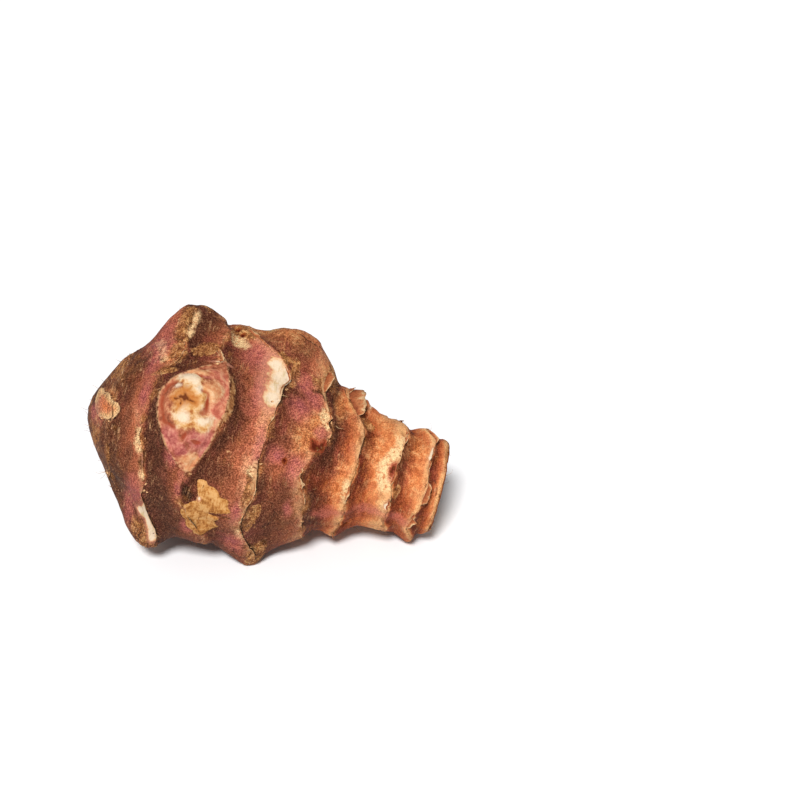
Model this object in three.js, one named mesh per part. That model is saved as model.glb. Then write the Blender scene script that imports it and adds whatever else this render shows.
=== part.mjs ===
// A Jerusalem artichoke tuber (Helianthus tuberosus), lying on a flat surface as picked.
// Millimetres, +Z up. The growing tip points to -X and the cut neck to +X.
// The tuber grew as one piece, so it is one closed solid: a tapering body with eight leaf-scar rings,
// buds raised from it, and the flat cut through its neck.
import * as THREE from "three";

const { sin, cos, exp, sqrt, floor, hypot, PI } = Math;
const rad = THREE.MathUtils.degToRad;

// Driving dimensions.
// Stations and radii are given at the tip (ring -1), at the leaf-scar rings 0 to 7, and at the cut (8).
const FIRST_RING = -1;
const CUT_RING = 8;
const STATION = [0, 7.5, 18, 27.8, 42.8, 55, 63.6, 73.8, 81, 84.6];
const RADIUS = [0, 15, 22.8, 24.8, 22.6, 18, 14.6, 12.4, 11.6, 10.4];
// How far each leaf-scar ring stands out of the valley that follows it.
const RING_RELIEF = [0, 0.7, 0.9, 1, 1, 1.1, 1.3, 1.5, 1.5, 0.6];
// Share of a band taken by the ledge behind its ring, and the share by which the next swell is full.
const LEDGE = 0.2;
const SWELL_FULL = 0.93;

// The axis runs down from the tip to the neck, a little towards the front (-Y).
const AXIS_DROP = rad(13.5);
const AXIS_TURN = rad(3);
const TIP_HEIGHT = 33;

// Rows of vertices in each band, as shares of the band, and vertices round the tuber.
const BAND_ROWS = [0, LEDGE / 2, LEDGE, 0.42, 0.66, 0.84];
const COLUMNS = 84;
// Rings of vertices on the cut, as shares of its radius, and how deep its middle has dried in.
const CUT_ROWS = [0.94, 0.62, 0.3];
const CUT_RIM = 0.5;
const CUT_DISH = 0.5;

// Buds, swellings and a hollow: where they sit (station, and angle round the axis from the top
// towards the front), their half length and half width, height, and edge power (1.5 is a cone,
// 2 a bell, 3 a flat dome).
const KNOBS = [
  { name: "great eye", at: 22.5, angle: 42, long: 10, wide: 9.5, high: 4.6, edge: 3.2 },
  { name: "tail of the great eye", at: 21.5, angle: 68, long: 5, wide: 6, high: 1.8, edge: 2 },
  { name: "top bud", at: 18.8, angle: -36, long: 6.5, wide: 7.5, high: 5.5, edge: 2.6 },
  { name: "saddle", at: 32, angle: -34, long: 7, wide: 8, high: 1.8, edge: 2 },
  { name: "tip bud", at: 5.5, angle: 55, long: 4, wide: 4, high: 1.5, edge: 2 },
  { name: "hollow by the low bud", at: 10, angle: 130, long: 6, wide: 8, high: -2, edge: 2 },
  { name: "low bud", at: 17.5, angle: 141, long: 6.5, wide: 6, high: 5.6, edge: 2.2 },
  { name: "front foot", at: 45.2, angle: 145, long: 7.2, wide: 6.6, high: 6.2, edge: 1.5 },
  { name: "shoulder", at: 45.5, angle: -34, long: 9.5, wide: 11, high: 6.4, edge: 3 },
  { name: "middle eye", at: 51.5, angle: 58, long: 6, wide: 6, high: 1.8, edge: 2 },
  { name: "upper neck bud", at: 64, angle: -20, long: 3.5, wide: 4, high: 2, edge: 2 },
  { name: "neck eye", at: 73, angle: 62, long: 4, wide: 4, high: 1.2, edge: 2 },
  { name: "lower neck bud", at: 64, angle: 142, long: 3, wide: 3, high: 1.8, edge: 2 },
  { name: "heel", at: 79.5, angle: 165, long: 4, wide: 6.5, high: 2.8, edge: 2.4 },
  { name: "back foot", at: 21, angle: 196, long: 9, wide: 9, high: 5.8, edge: 2.4 },
  { name: "back bud", at: 33, angle: 262, long: 8, wide: 7.5, high: 4.6, edge: 2.4 },
  { name: "back swelling", at: 50, angle: 218, long: 6, wide: 6, high: 3, edge: 2 },
  { name: "back shoulder bud", at: 58, angle: 288, long: 5, wide: 5, high: 2.8, edge: 2.2 },
  { name: "back tip bud", at: 13, angle: 285, long: 5, wide: 5, high: 2.4, edge: 2 },
  { name: "back neck bud", at: 72, angle: 235, long: 4, wide: 4, high: 1.6, edge: 2 },
];

// Where a ring swings round a bud: the ring, the angle, the shift and its reach in rings, and its
// reach in degrees.
const BENDS = [
  { ring: 1, angle: 2, shift: 0.22, reach: 0.5, spread: 16 },
  { ring: 1, angle: 42, shift: -0.45, reach: 0.8, spread: 28 },
  { ring: 1, angle: 132, shift: 0.5, reach: 0.8, spread: 26 },
  { ring: 2, angle: -20, shift: 0.12, reach: 0.6, spread: 16 },
  { ring: 2, angle: 40, shift: 0.55, reach: 0.75, spread: 30 },
  { ring: 2, angle: 78, shift: -0.25, reach: 0.5, spread: 18 },
  { ring: 2, angle: 125, shift: 0.22, reach: 0.5, spread: 20 },
  { ring: 2, angle: 250, shift: 0.4, reach: 0.6, spread: 28 },
  { ring: 3, angle: -34, shift: -0.68, reach: 0.9, spread: 26 },
  { ring: 3, angle: 8, shift: 0.3, reach: 0.5, spread: 14 },
  { ring: 3, angle: 104, shift: -0.3, reach: 0.5, spread: 20 },
  { ring: 3, angle: 146, shift: 0.15, reach: 0.5, spread: 20 },
  { ring: 4, angle: -28, shift: 0.35, reach: 0.6, spread: 18 },
  { ring: 4, angle: 34, shift: 0.2, reach: 0.6, spread: 24 },
  { ring: 4, angle: 65, shift: -0.4, reach: 0.6, spread: 18 },
  { ring: 4, angle: 215, shift: 0.3, reach: 0.6, spread: 26 },
  { ring: 5, angle: -20, shift: -0.5, reach: 0.7, spread: 22 },
  { ring: 5, angle: 22, shift: 0.18, reach: 0.5, spread: 14 },
  { ring: 5, angle: 285, shift: 0.35, reach: 0.6, spread: 30 },
  { ring: 6, angle: 42, shift: 0.1, reach: 0.5, spread: 30 },
  { ring: 7, angle: -30, shift: -0.3, reach: 0.5, spread: 24 },
  { ring: 7, angle: 14, shift: 0.25, reach: 0.5, spread: 16 },
  { ring: 7, angle: 65, shift: 0.2, reach: 0.5, spread: 26 },
  { ring: 7, angle: 112, shift: -0.25, reach: 0.5, spread: 22 },
];

// Every ring leans a little, and its line is scalloped: waves round it, shift in rings, turn per ring.
const RING_LEAN = 0.12;
const RING_LEAN_ANGLE = rad(200);
const SCALLOPS = [
  { waves: 2, shift: 0.07, turn: 1.3 },
  { waves: 3, shift: 0.05, turn: -2.1 },
  { waves: 5, shift: 0.035, turn: 2.6 },
  { waves: 8, shift: 0.022, turn: -3.4 },
  { waves: 13, shift: 0.013, turn: 4.7 },
];
const SCALLOP_STEP = 1.7;

// Broad lumps all over: sine waves in drawn directions.
const LUMP_SEED = 7;
const LUMP_COUNT = 12;
const LUMP_LONGEST = 26;
const LUMP_SHORTEST = 11;
const LUMP_HEIGHT = 0.34;

const ahead = new THREE.Vector3(cos(AXIS_TURN), -sin(AXIS_TURN), 0);
const straightUp = new THREE.Vector3(0, 0, 1);
const axis = ahead.clone().multiplyScalar(cos(AXIS_DROP)).addScaledVector(straightUp, -sin(AXIS_DROP));
const upwards = ahead.clone().multiplyScalar(sin(AXIS_DROP)).addScaledVector(straightUp, cos(AXIS_DROP));
const frontwards = new THREE.Vector3(-sin(AXIS_TURN), -cos(AXIS_TURN), 0);
const tip = new THREE.Vector3(0, 0, TIP_HEIGHT);

// Park-Miller numbers from 0 to 1.
function* drawnNumbers(seed) {
  const MULTIPLIER = 16807;
  const MODULUS = 2147483647;
  for (let state = seed; ; ) {
    state = (state * MULTIPLIER) % MODULUS;
    yield state / MODULUS;
  }
}

function drawLumps() {
  const drawn = drawnNumbers(LUMP_SEED);
  const next = () => drawn.next().value;
  for (let skipped = 0; skipped < 4; skipped++) next();
  return Array.from({ length: LUMP_COUNT }, () => {
    const height = 2 * next() - 1;
    const turn = 2 * PI * next();
    const phase = 2 * PI * next();
    const number = (2 * PI) / (LUMP_SHORTEST + (LUMP_LONGEST - LUMP_SHORTEST) * next());
    const level = sqrt(1 - height * height);
    const wave = new THREE.Vector3(level * cos(turn), level * sin(turn), height).multiplyScalar(number);
    return { wave, phase };
  });
}

const lumps = drawLumps();

function lumpRelief(point) {
  const total = lumps.reduce((sum, lump) => sum + sin(lump.wave.dot(point) + lump.phase), 0);
  return (LUMP_HEIGHT * total) / sqrt(LUMP_COUNT / 2);
}

const clamp01 = (x) => THREE.MathUtils.clamp(x, 0, 1);
const ease = (x) => THREE.MathUtils.smoothstep(x, 0, 1);
const wrapAngle = (a) => THREE.MathUtils.euclideanModulo(a + PI, 2 * PI) - PI;
const bell = (x) => exp(-x * x);

// Straight steps through a table given at the rings.
function stepped(table, ring) {
  const x = THREE.MathUtils.clamp(ring - FIRST_RING, 0, table.length - 1.000001);
  const i = floor(x);
  return table[i] + (table[i + 1] - table[i]) * (x - i);
}

// A Catmull-Rom curve through a table given at the rings. Before the tip the table is mirrored,
// with its sign turned for the radius, so that the tip is round.
function smooth(table, ring, mirrorSign) {
  const last = table.length - 1;
  const x = THREE.MathUtils.clamp(ring - FIRST_RING, 0, last - 1e-9);
  const i = floor(x);
  const f = x - i;
  const before = i > 0 ? table[i - 1] : mirrorSign * table[1];
  const after = i + 2 <= last ? table[i + 2] : 2 * table[last] - table[last - 1];
  const [a, b] = [table[i], table[i + 1]];
  const bend = 2 * before - 5 * a + 4 * b - after + f * (3 * (a - b) + after - before);
  return a + 0.5 * f * (b - before + f * bend);
}

// How far along, in rings, the tuber's skin at this ring and angle is shifted from an even ring.
function ringShift(ring, angle) {
  let shift = RING_LEAN * cos(angle - RING_LEAN_ANGLE);
  SCALLOPS.forEach((s, i) => {
    shift += s.shift * sin(s.waves * angle + s.turn * ring + SCALLOP_STEP * i);
  });
  for (const b of BENDS) {
    const turned = wrapAngle(angle - rad(b.angle)) / rad(b.spread);
    shift += b.shift * bell((ring - b.ring) / b.reach) * bell(turned);
  }
  return shift * clamp01(ring - FIRST_RING) * clamp01(CUT_RING - ring);
}

// The height profile along a band: it drops over the ledge, then swells up to the next ring.
function bandRelief(ring) {
  const share = ring - floor(ring);
  const profile = share < LEDGE ? 1 - ease(share / LEDGE) : ease((share - LEDGE) / (SWELL_FULL - LEDGE));
  return stepped(RING_RELIEF, ring) * (profile - 0.5);
}

// A knob's half width is measured along the skin, at the body's radius there.
function radiusAt(station) {
  const i = STATION.findIndex((s) => s > station) - 1;
  return RADIUS[i] + ((RADIUS[i + 1] - RADIUS[i]) * (station - STATION[i])) / (STATION[i + 1] - STATION[i]);
}

function knobRelief(station, angle) {
  return KNOBS.reduce((sum, k) => {
    const across = (wrapAngle(angle - rad(k.angle)) * radiusAt(k.at)) / k.wide;
    return sum + k.high * exp(-(hypot((station - k.at) / k.long, across) ** k.edge));
  }, 0);
}

// A point of the skin. The floor flattens the feet that would reach below it.
function skinPoint(ring, angle) {
  const shifted = ring + ringShift(ring, angle);
  const station = smooth(STATION, shifted, 1);
  const outwards = upwards.clone().multiplyScalar(cos(angle)).addScaledVector(frontwards, sin(angle));
  const point = tip.clone().addScaledVector(axis, station);
  point.addScaledVector(outwards, smooth(RADIUS, shifted, -1));
  const lumps = lumpRelief(point) * clamp01(ring - FIRST_RING);
  point.addScaledVector(outwards, bandRelief(ring) + knobRelief(station, angle) + lumps);
  point.z = Math.max(point.z, 0);
  return point;
}

function ringsOfTheSkin() {
  const rings = [];
  for (let band = FIRST_RING; band < CUT_RING; band++) {
    rings.push(...BAND_ROWS.map((share) => band + share));
  }
  return [...rings.slice(1), CUT_RING];
}

function tuberGeometry() {
  const angles = Array.from({ length: COLUMNS }, (_, i) => (2 * PI * i) / COLUMNS);
  const rows = ringsOfTheSkin().map((ring) => angles.map((angle) => skinPoint(ring, angle)));

  // The cut: rings of vertices drawn in from the last row towards its middle.
  const edge = rows[rows.length - 1];
  const middle = edge.reduce((sum, p) => sum.add(p), new THREE.Vector3()).divideScalar(COLUMNS);
  for (const share of CUT_ROWS) {
    const depth = CUT_RIM - CUT_DISH * (1 - share);
    rows.push(edge.map((p) => middle.clone().lerp(p, share).addScaledVector(axis, depth)));
  }

  const points = [skinPoint(FIRST_RING, 0), ...rows.flat()];
  points.push(middle.clone().addScaledVector(axis, CUT_RIM - CUT_DISH));
  const last = points.length - 1;
  const at = (row, column) => 1 + row * COLUMNS + (column % COLUMNS);
  const faces = [];
  for (let c = 0; c < COLUMNS; c++) {
    faces.push(0, at(0, c + 1), at(0, c));
    for (let r = 0; r < rows.length - 1; r++) {
      faces.push(at(r, c), at(r + 1, c + 1), at(r + 1, c));
      faces.push(at(r, c), at(r, c + 1), at(r + 1, c + 1));
    }
    faces.push(last, at(rows.length - 1, c), at(rows.length - 1, c + 1));
  }

  const geometry = new THREE.BufferGeometry().setFromPoints(points).setIndex(faces);
  // The origin is under the middle of the tuber, on the surface that it lies on.
  geometry.computeBoundingBox();
  const centre = geometry.boundingBox.getCenter(new THREE.Vector3());
  geometry.translate(-centre.x, -centre.y, 0);
  geometry.computeVertexNormals();
  return geometry;
}

const skin = new THREE.MeshStandardMaterial({ color: 0x9a5f4f, roughness: 0.72, metalness: 0 });
const tuber = new THREE.Mesh(tuberGeometry(), skin);
tuber.name = "tuber";

const part = new THREE.Group();
part.add(tuber);

export default part;
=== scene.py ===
"""A Jerusalem artichoke tuber: the finish of its skin, with its torn scar edges, eyes, fibres and flakes.

The form repeats the CAD's formula on a finer grid. Its sizes are in millimetres, and every mesh is
made in metres. Places on the tuber are given by station (mm from the tip, along the axis) and by
angle (degrees round the axis, from the top towards the front).
"""
import itertools
from math import cos, pi, radians, sin, sqrt

import bpy
import numpy as np
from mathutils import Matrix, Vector


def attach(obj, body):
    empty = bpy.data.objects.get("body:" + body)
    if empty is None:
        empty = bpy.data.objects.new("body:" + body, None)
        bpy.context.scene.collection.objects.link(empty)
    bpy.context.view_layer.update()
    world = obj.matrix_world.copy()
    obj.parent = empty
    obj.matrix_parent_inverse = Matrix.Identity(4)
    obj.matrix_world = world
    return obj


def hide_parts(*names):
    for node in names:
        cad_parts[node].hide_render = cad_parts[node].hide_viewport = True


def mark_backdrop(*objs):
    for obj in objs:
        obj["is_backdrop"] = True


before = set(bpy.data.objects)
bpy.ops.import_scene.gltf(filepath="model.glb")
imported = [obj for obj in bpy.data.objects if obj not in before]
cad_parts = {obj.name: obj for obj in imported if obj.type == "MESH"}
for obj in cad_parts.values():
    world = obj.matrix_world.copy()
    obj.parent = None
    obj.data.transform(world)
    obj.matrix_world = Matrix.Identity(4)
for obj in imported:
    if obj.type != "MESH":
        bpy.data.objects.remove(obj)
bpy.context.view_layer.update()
MM = 0.001

# ---------------------------------------------------------------- the form, as in the CAD

FIRST_RING = -1
CUT_RING = 8
STATION = np.array([0, 7.5, 18, 27.8, 42.8, 55, 63.6, 73.8, 81, 84.6])
RADIUS = np.array([0, 15, 22.8, 24.8, 22.6, 18, 14.6, 12.4, 11.6, 10.4])
RING_RELIEF = np.array([0, 0.7, 0.9, 1, 1, 1.1, 1.3, 1.5, 1.5, 0.6])
TABLE_RINGS = np.arange(FIRST_RING, CUT_RING + 1)

AXIS_DROP = radians(13.5)
AXIS_TURN = radians(3)
AXIS = np.array([cos(AXIS_DROP) * cos(AXIS_TURN), -cos(AXIS_DROP) * sin(AXIS_TURN), -sin(AXIS_DROP)])
UPWARDS = np.array([sin(AXIS_DROP) * cos(AXIS_TURN), -sin(AXIS_DROP) * sin(AXIS_TURN), cos(AXIS_DROP)])
FRONTWARDS = np.array([-sin(AXIS_TURN), -cos(AXIS_TURN), 0])
TIP_HEIGHT = 33
# The CAD measures from the tip, and then puts the origin under the middle of the tuber.
TIP_PLACE = np.array([-42.42, -0.30, 0])

CUT_SHARES = [0.97, 0.92, 0.84, 0.74, 0.62, 0.48, 0.34, 0.2, 0.08]
CUT_RIM = 0.5
CUT_DISH = 0.5

# Knobs: station, angle, half length, half width, height, edge power (1.5 is a cone, 3 a flat dome).
KNOBS = {
    "great eye": (22.5, 42, 10, 9.5, 4.6, 3.2),
    "tail of the great eye": (21.5, 68, 5, 6, 1.8, 2),
    "top bud": (18.8, -36, 6.5, 7.5, 5.5, 2.6),
    "saddle": (32, -34, 7, 8, 1.8, 2),
    "tip bud": (5.5, 55, 4, 4, 1.5, 2),
    "hollow by the low bud": (10, 130, 6, 8, -2, 2),
    "low bud": (17.5, 141, 6.5, 6, 5.6, 2.2),
    "front foot": (45.2, 145, 7.2, 6.6, 6.2, 1.5),
    "shoulder": (45.5, -34, 9.5, 11, 6.4, 3),
    "middle eye": (51.5, 58, 6, 6, 1.8, 2),
    "upper neck bud": (64, -20, 3.5, 4, 2, 2),
    "neck eye": (73, 62, 4, 4, 1.2, 2),
    "lower neck bud": (64, 142, 3, 3, 1.8, 2),
    "heel": (79.5, 165, 4, 6.5, 2.8, 2.4),
    "back foot": (21, 196, 9, 9, 5.8, 2.4),
    "back bud": (33, 262, 8, 7.5, 4.6, 2.4),
    "back swelling": (50, 218, 6, 6, 3, 2),
    "back shoulder bud": (58, 288, 5, 5, 2.8, 2.2),
    "back tip bud": (13, 285, 5, 5, 2.4, 2),
    "back neck bud": (72, 235, 4, 4, 1.6, 2),
}

# Bends of the rings round the buds: ring, angle, shift and reach in rings, reach in degrees.
BENDS = [
    (1, 2, 0.22, 0.5, 16), (1, 42, -0.45, 0.8, 28), (1, 132, 0.5, 0.8, 26), (2, -20, 0.12, 0.6, 16),
    (2, 40, 0.55, 0.75, 30), (2, 78, -0.25, 0.5, 18), (2, 125, 0.22, 0.5, 20), (2, 250, 0.4, 0.6, 28),
    (3, -34, -0.68, 0.9, 26), (3, 8, 0.3, 0.5, 14), (3, 104, -0.3, 0.5, 20), (3, 146, 0.15, 0.5, 20),
    (4, -28, 0.35, 0.6, 18), (4, 34, 0.2, 0.6, 24), (4, 65, -0.4, 0.6, 18), (4, 215, 0.3, 0.6, 26),
    (5, -20, -0.5, 0.7, 22), (5, 22, 0.18, 0.5, 14), (5, 285, 0.35, 0.6, 30), (6, 42, 0.1, 0.5, 30),
    (7, -30, -0.3, 0.5, 24), (7, 14, 0.25, 0.5, 16), (7, 65, 0.2, 0.5, 26), (7, 112, -0.25, 0.5, 22),
]

RING_LEAN = 0.12
RING_LEAN_ANGLE = radians(200)
# Scallops of the rings: waves round, shift in rings, turn per ring.
SCALLOPS = [(2, 0.07, 1.3), (3, 0.05, -2.1), (5, 0.035, 2.6), (8, 0.022, -3.4), (13, 0.013, 4.7)]
SCALLOP_STEP = 1.7

NUMBERS_SKIPPED = 4
LUMP_SEED = 7
LUMP_COUNT = 12
LUMP_LONGEST = 26
LUMP_SHORTEST = 11
LUMP_HEIGHT = 0.34


def drawn_numbers(seed):
    """Park-Miller numbers from 0 to 1, the same as the CAD draws, without the first few."""
    state = seed
    for count in itertools.count():
        state = state * 16807 % 2147483647
        if count >= NUMBERS_SKIPPED:
            yield state / 2147483647


def drawn_lumps():
    """The waves of the broad lumps: one row each of wave vector and phase."""
    numbers = drawn_numbers(LUMP_SEED)
    waves = []
    for _ in range(LUMP_COUNT):
        height = 2 * next(numbers) - 1
        turn = 2 * pi * next(numbers)
        phase = 2 * pi * next(numbers)
        number = 2 * pi / (LUMP_SHORTEST + (LUMP_LONGEST - LUMP_SHORTEST) * next(numbers))
        level = sqrt(1 - height * height)
        waves.append((number * level * cos(turn), number * level * sin(turn), number * height, phase))
    return np.array(waves)


LUMPS = drawn_lumps()


def bell(x):
    """1 at 0, falling to nothing past 2 either way."""
    return np.exp(-x * x)


def ease(x):
    """0 below 0 and 1 above 1, smooth between."""
    x = np.clip(x, 0, 1)
    return x * x * (3 - 2 * x)


def wrapped(angle):
    """The angle from -pi to pi."""
    return (angle + pi) % (2 * pi) - pi


def turned_from(angle, place, half):
    """How far round a place in degrees is, in half widths."""
    return wrapped(angle - radians(place)) / radians(half)


def away_from(station, angle, at, place, long, wide):
    """How far a place is, along the axis in half lengths and round it in half widths."""
    return (station - at) / long, wrapped(angle - radians(place)) * np.interp(at, STATION, RADIUS) / wide


def outwards_at(angle):
    """The direction away from the axis."""
    return np.cos(angle)[..., None] * UPWARDS + np.sin(angle)[..., None] * FRONTWARDS


def smooth(table, ring, mirror_sign):
    """A Catmull-Rom curve through a table given at the rings, mirrored at the tip."""
    knots = np.concatenate([[mirror_sign * table[1]], table, [2 * table[-1] - table[-2]]])
    x = np.clip(ring - FIRST_RING, 0, len(table) - 1 - 1e-9)
    i = np.floor(x).astype(int)
    f = x - i
    before, a, b, after = knots[i], knots[i + 1], knots[i + 2], knots[i + 3]
    bend = 2 * before - 5 * a + 4 * b - after + f * (3 * (a - b) + after - before)
    return a + 0.5 * f * (b - before + f * bend)


def lump_relief(points):
    """The height of the broad lumps."""
    waves = np.sin(points @ LUMPS[:, :3].T + LUMPS[:, 3])
    return LUMP_HEIGHT * waves.sum(-1) / sqrt(LUMP_COUNT / 2)


def ring_shift(ring, angle):
    """How far the rings are shifted here, in rings."""
    shift = RING_LEAN * np.cos(angle - RING_LEAN_ANGLE)
    for i, (waves, height, turn) in enumerate(SCALLOPS):
        shift = shift + height * np.sin(waves * angle + turn * ring + SCALLOP_STEP * i)
    for bent_ring, at, height, reach, spread in BENDS:
        shift = shift + height * bell((ring - bent_ring) / reach) * bell(turned_from(angle, at, spread))
    return shift * np.clip(ring - FIRST_RING, 0, 1) * np.clip(CUT_RING - ring, 0, 1)


def knob_relief(station, angle):
    """The height of the knobs."""
    relief = 0
    for at, place, long, wide, high, edge in KNOBS.values():
        away = np.hypot(*away_from(station, angle, at, place, long, wide))
        relief = relief + high * np.exp(-(away ** edge))
    return relief


# ---------------------------------------------------------------- fine relief of the skin

ROW_STEP = 0.31
COLUMNS = 332
VALLEY = 0.25
CREST = 0.93
LIP_FROM = 0.93
LIP_TO = 0.99
# The torn edge of a ring in section: share of the band, how far the skin drops below the soft swell
# and how far back under the edge it goes, in mm.
EDGE_SHARES = [0, 0.007, 0.018, 0.034, 0.06, 0.1, 0.16]
EDGE_DROP = [0, 0.1, 0.34, 0.4, 0.32, 0.2, 0]
EDGE_BACK = [0, 0.04, 0.12, 0.12, 0.06, 0, 0]
LIP_LIFT = 0.1
# How crisp each ring's edge is: 1 is a torn papery edge, 0 a soft swell.
CRISPNESS = np.array([0, 0.1, 0, 0, 0.12, 0.2, 0.25, 0.2, 0.35, 0.1])
# Stretches that are more or less torn than the rest of their ring: ring, angle, half width in degrees.
TORN_STRETCHES = [
    (0, 30, 22, 0.5), (1, 60, 14, 0.7), (1, 104, 18, 0.8), (2, 6, 10, 0.8), (2, 60, 40, -0.6),
    (3, 24, 16, 0.9), (3, 56, 20, 0.8), (3, 96, 14, 0.5), (4, -8, 18, 1.0), (4, 28, 22, 0.5),
    (4, 70, 12, 0.4), (5, -22, 18, 0.8), (5, 34, 14, 0.6), (5, 76, 12, 0.6), (6, 20, 16, 0.6),
    (6, 46, 18, 0.6), (6, 84, 12, 0.5), (7, 62, 26, 0.8), (7, 10, 22, 0.4),
]

# Places where an edge stands well ahead of its line: ring, angle, half width in degrees and mm.
EDGE_PUSHES = [(3, 77, 13, 1.3)]
EDGE_BITES = 2.0
# Layers of noise: height, size in mm and seed.
EDGE_RAGGED = [(0.42, 5.2, 3), (0.2, 2.0, 4)]
EDGE_NICKS = [(0.16, 1.0, 5)]
CRISP_PATCHES = [(0.9, 7.0, 8), (0.45, 2.4, 9)]
CORK_BUMPS = [(0.13, 3.1, 21), (0.08, 1.7, 22), (0.05, 0.95, 23)]
TIP_LUMPS = [(0.9, 4.6, 25), (0.3, 1.5, 26)]
WRINKLES = [(0.09, 0.8, 24)]
WRINKLE_LENGTH = 5.5
EYE_FOLDS = [(0.22, 2.6, 11), (0.14, 1.2, 12)]
EYE_SHAKE = [(0.55, 2.1, 15), (0.25, 0.9, 16)]
CUT_BUMPS = [(0.1, 1.4, 41), (0.05, 0.7, 42)]

GREAT_EYE_AT = 24.3
GREAT_EYE_ANGLE = 43
GREAT_EYE_RADIUS = 26.5
# Inside the great eye all places are along the axis and round it, in mm from its middle.
GREAT_EYE_SCAR = [
    (5.0, -16.7), (3.6, -14.0), (0.2, -11.6), (-2.3, -9.5), (-5.1, -7.6), (-7.1, -5.2), (-8.2, -2.7),
    (-8.1, 0.5), (-7.3, 3.7), (-6.0, 6.3), (-4.2, 9.1), (-2.3, 10.8), (-0.6, 12.5), (1.5, 14.0),
    (2.6, 14.0), (3.9, 11.0), (5.2, 7.8), (5.8, 5.2), (6.3, 2.2), (7.2, -1.0), (7.4, -4.6),
    (6.8, -8.4), (5.7, -12.3),
]
# Lobes: middle along and round, half length, half width, turn in degrees.
EYE_LOBES = {
    # The white lobes are pale scale with painted highlight on it.
    "white": [
        (-2.3, -6.6, 2.3, 1.3, 15), (-1.4, 2.4, 1.5, 1.3, 0), (2.9, 2.0, 1.8, 0.9, -25),
        (0.2, -4.3, 1.0, 1.0, 0), (-4.4, -4.2, 0.8, 0.7, 0),
    ],
    "cream": [
        (-1.2, -1.6, 4.0, 4.1, 0), (-1.1, 2.7, 2.6, 2.3, 0), (2.5, 2.7, 2.6, 1.9, -20),
        (-2.1, -6.3, 3.1, 1.7, 0),
    ],
    "peach": [
        (3.2, -4.6, 2.2, 2.7, 0), (-0.8, -9.1, 3.3, 1.2, 0), (2.0, 11.0, 2.7, 1.6, 0),
        (2.1, 13.0, 1.2, 1.2, 0),
    ],
    "rose": [
        (5.6, -5.2, 1.7, 4.6, 0), (3.6, -9.3, 2.2, 1.8, 0), (5.2, 0.0, 1.7, 3.0, 0),
    ],
    "lilac": [
        (3.2, 6.0, 3.2, 2.8, 0), (-3.4, 7.4, 1.9, 2.9, -30), (-0.6, 9.5, 1.8, 2.0, 0),
        (1.1, -8.6, 2.6, 1.1, 0), (4.6, 9.0, 1.2, 2.2, 0),
    ],
}
EYE_ARC_WIDTH = 0.8
EYE_ARCS = [
    [(-5.0, -5.6), (-6.4, -4.6), (-7.1, -2.9), (-7.2, 0.6), (-5.6, 3.3), (-3.4, 4.7)],
    [(1.0, -3.9), (2.5, -3.3), (3.0, -0.7), (2.2, 0.3)],
]
EYE_CRACK_WIDTH = 0.6
EYE_CRACKS = [
    [(-4.6, -1.5), (-3.2, -2.1), (-2.0, -1.5), (0.0, -1.2)],
    [(-2.9, -0.2), (-2.2, -1.5)],
    [(-2.4, -3.1), (-1.8, -1.5)],
]
# The dark middle of the cracks: along, round and radius.
EYE_BLOT = (-2.0, -1.5, 0.9)
EYE_PITS = [
    (-0.5, 6.2, 0.6, 0.8, 0), (2.2, 6.8, 1.1, 0.6, 10), (0.0, -7.7, 0.8, 0.6, 0), (2.7, -1.4, 0.5, 1.1, 0),
]
# Height of the eye's scales, arcs, cracks and pits in mm, the softness of their edges, and how far they
# reach over their edges.
EYE_RELIEF = {
    "cream": (0.35, 0.35, 0),
    "white": (0.3, 0.6, 0),
    "peach": (0.4, 0.6, 0),
    "arc": (-0.5, 0.8, 0),
    "crack": (-0.6, 1, 0),
    "pit": (-0.6, 1, 0.2),
}
SCAR_LINE = 0.3
SCAR_GROOVE = 0.28
EYE_FAR = -4.0
NOWHERE = -3.0
SMALL_EYE_RIM = 0.3

# Raised plates of bark: station, angle, half length, half width and height.
PLATES = [
    (61.2, -20, 3.3, 3.9, 0.75), (54.6, -12, 1.8, 2.2, 0.4), (46.6, -33, 4.2, 4.0, 0.5),
    (16.6, 2, 2.6, 3.6, 0.35), (45.2, 99, 2.3, 4.2, 0.45), (3.9, 45, 1.5, 2.2, 0.4),
    (5.6, -17, 1.5, 2.6, 0.35), (82.2, 64, 1.5, 3.2, 0.5), (20.6, 135, 2.4, 2.6, 0.4),
    (42.6, 130, 2.0, 2.2, 0.35), (27.0, 300, 2.8, 3.4, 0.5), (38.0, 190, 2.4, 3.4, 0.45),
    (60.0, 250, 2.2, 3.0, 0.5), (68.0, 320, 2.0, 2.6, 0.45), (44.0, 290, 3.0, 3.6, 0.5),
]

# Small eyes: station, angle, half length, half width and depth of the pit.
SMALL_EYES = [
    (0.0, 0, 0.2, 9.0, 0.5), (46.9, 58.5, 0.5, 0.55, 0.6), (46.2, 150, 0.7, 0.9, 0.7),
    (30.2, -24, 0.6, 0.8, 0.5), (31.6, -18, 0.5, 0.6, 0.4), (64.6, 126, 0.6, 0.6, 0.5),
    (33.5, 262, 1.2, 1.5, 0.9), (58.5, 290, 1.0, 1.2, 0.8), (13.0, 286, 0.9, 1.1, 0.7),
    (72.0, 236, 0.8, 0.9, 0.7), (50.0, 219, 0.9, 1.0, 0.7),
]


def hashed(x, y, z, seed):
    """A number from -1 to 1 for each whole-number place."""
    n = x * 374761393 + y * 668265263 + z * 1103515245 + seed * 1274126177
    n = (n ^ (n >> 13)) * 1274126177
    n = (n ^ (n >> 16)) & 0xFFFF
    return n / 32767.5 - 1


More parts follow.
